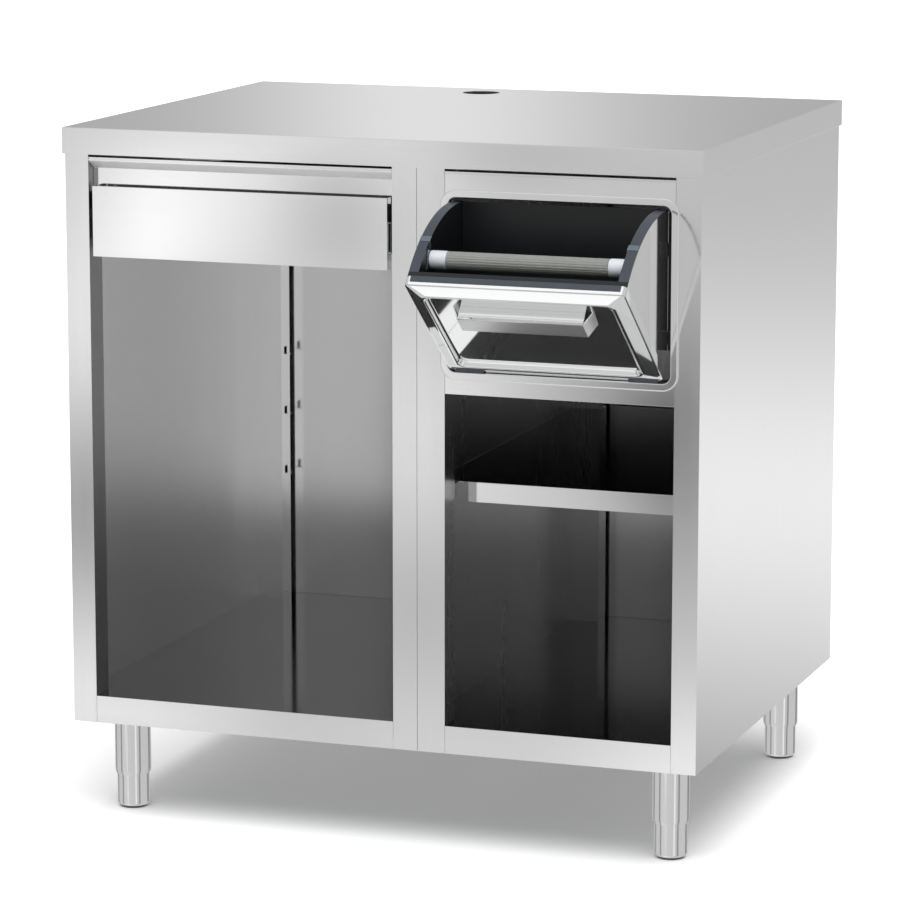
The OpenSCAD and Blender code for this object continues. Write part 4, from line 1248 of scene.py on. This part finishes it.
@dataclass(frozen=True)
class Studio:
    """Floor, light and camera.

    Mirrored is the even level that the steel mirrors, before the softboxes behind the cabinet and
    ahead of it change it, and fill the level that lights everything else. Steepest keeps the
    tangents of sideways rays finite.
    """

    camera_place: tuple[float, float, float] = (2.0893, -5.8696, 1.6922)
    yaw: float = 0.3404
    pitch: float = 0.1811
    lens: float = 163.53
    sensor: float = 36.0
    farthest: float = 200.0
    fill: float = 0.34
    mirrored: float = 0.60
    steepest: float = 0.02
    behind: tuple[Softbox, ...] = (
        Softbox(-0.354, 0.11, 0.6, 0.1, -0.16),
        Softbox(-0.36, 0.11, 0.055, 0.1, 0.38),
        Softbox(0.3, -0.2, 0.5, 0.2, -0.07),
        Softbox(0.28, -0.2, 0.5, 0.05, 0.44),
        Softbox(0.28, -0.29, 0.5, 0.025, -0.14),
        Softbox(0.75, -0.2, 0.25, 0.4, -0.42),
        Softbox(-3.0, -0.4, 1.6, 2.0, -0.34),
    )
    ahead: tuple[Softbox, ...] = (
        Softbox(0.85, -0.25, 0.14, 1.0, 0.38),
        Softbox(-1.6, 0.0, 0.35, 4.0, -0.42),
        Softbox(2.4, 0.0, 0.6, 4.0, -0.42),
        Softbox(-0.6, 2.4, 1.6, 1.4, 0.45),
        Softbox(-0.8, -2.0, 0.9, 1.1, 0.52),
        Softbox(-0.457, -0.166, 0.03, 0.022, 0.42),
        Softbox(-0.457, -0.218, 0.03, 0.022, -0.46),
        Softbox(-0.457, -0.272, 0.05, 0.022, 0.46),
        Softbox(-0.362, -0.12, 0.016, 0.025, 0.26),
        Softbox(-0.362, -0.19, 0.03, 0.025, 0.32),
        Softbox(-0.362, -0.236, 0.03, 0.02, -0.2),
        Softbox(-0.362, -0.275, 0.03, 0.015, 0.16),
        Softbox(-0.29, -0.185, 0.016, 0.04, -0.62),
        Softbox(-0.284, -0.28, 0.03, 0.02, 0.55),
        Softbox(-0.425, -0.134, 0.03, 0.018, 0.38),
        Softbox(-0.386, -0.134, 0.016, 0.014, -0.34),
        Softbox(-0.343, -0.114, 0.022, 0.008, -0.32),
        Softbox(-0.412, -0.112, 0.045, 0.007, 0.46),
        Softbox(-0.44, -0.136, 0.01, 0.014, 0.34),
        Softbox(-0.318, -0.18, 0.022, 0.012, -0.3),
        Softbox(-0.402, -0.27, 0.02, 0.012, -0.24),
    )
    ground: Ground = Ground()
    lamp: Lamp = Lamp("front_light", (0.15, -0.42, 1.0), 2.5, 50.0)

    def build(self) -> None:
        """Sets up the studio."""
        scene = bpy.context.scene
        scene.view_settings.view_transform = "Standard"
        self._camera(scene)
        self.ground.build()
        self.lamp.build(scene)
        self._world(scene)

    def _camera(self, scene: Scene) -> None:
        """Places the camera.

        Args:
            scene: The scene.
        """
        data = bpy.data.cameras.new("camera")
        data.lens = self.lens
        data.sensor_width = self.sensor
        data.clip_end = self.farthest
        camera = bpy.data.objects.new("camera", data)
        camera.location = self.camera_place
        camera.rotation_euler = (math.pi / 2 - self.pitch, 0, self.yaw)
        scene.collection.objects.link(camera)
        scene.camera = camera

    def _mirrored(self, wire: Wire) -> Term:
        """Builds the level that the steel mirrors in each direction.

        Args:
            wire: The world's wiring.

        Returns:
            The level.
        """
        place = wire.add("ShaderNodeTexCoord")
        parts = wire.add("ShaderNodeSeparateXYZ")
        wire.feed(place.outputs["Generated"], parts.inputs[0])
        depth = wire.maths("MAXIMUM", wire.maths("ABSOLUTE", parts.outputs["Y"]), self.steepest)
        across = wire.maths("DIVIDE", parts.outputs["X"], depth)
        up = wire.maths("DIVIDE", parts.outputs["Z"], depth)
        behind = wire.maths("GREATER_THAN", parts.outputs["Y"], 0.0)
        ahead = wire.maths("SUBTRACT", 1.0, behind)
        level: Term = self.mirrored
        for half, softboxes in ((behind, self.behind), (ahead, self.ahead)):
            for softbox in softboxes:
                level = softbox.added(wire, across, up, half, level)
        return level

    def _world(self, scene: Scene) -> None:
        """Surrounds the cabinet with light, white where it is seen and graded where mirrored.

        Args:
            scene: The scene.
        """
        world = bpy.data.worlds.new("studio")
        scene.world = world
        world.use_nodes = True
        wire = Wire(world.node_tree)
        path = wire.add("ShaderNodeLightPath")
        seen = wire.maths("MAXIMUM", path.outputs["Is Camera Ray"],
                          path.outputs["Is Transmission Ray"])
        over_fill = wire.maths("SUBTRACT", self._mirrored(wire), self.fill)
        glossy = wire.maths("MULTIPLY", path.outputs["Is Glossy Ray"], over_fill)
        sky = world.node_tree.nodes["Background"]
        wire.feed(wire.maths("MAXIMUM", seen, wire.maths("ADD", glossy, self.fill)),
                  sky.inputs["Strength"])
        wire.feed(WHITE, sky.inputs["Color"])


def main() -> None:
    """Builds the studio, then the cabinet's sub-assemblies in order."""
    logging.basicConfig(level=logging.INFO, format="%(message)s")
    palette = Palette()
    Studio().build()
    for assembly in (Worktop, Carcass, FrontRails, Drawer, LooseShelf, Bin, KnockBar, Legs,
                     Fixings):
        assembly(palette).build()
        LOG.info("built %s", assembly.__name__)


if __name__ == "__main__":
    main()
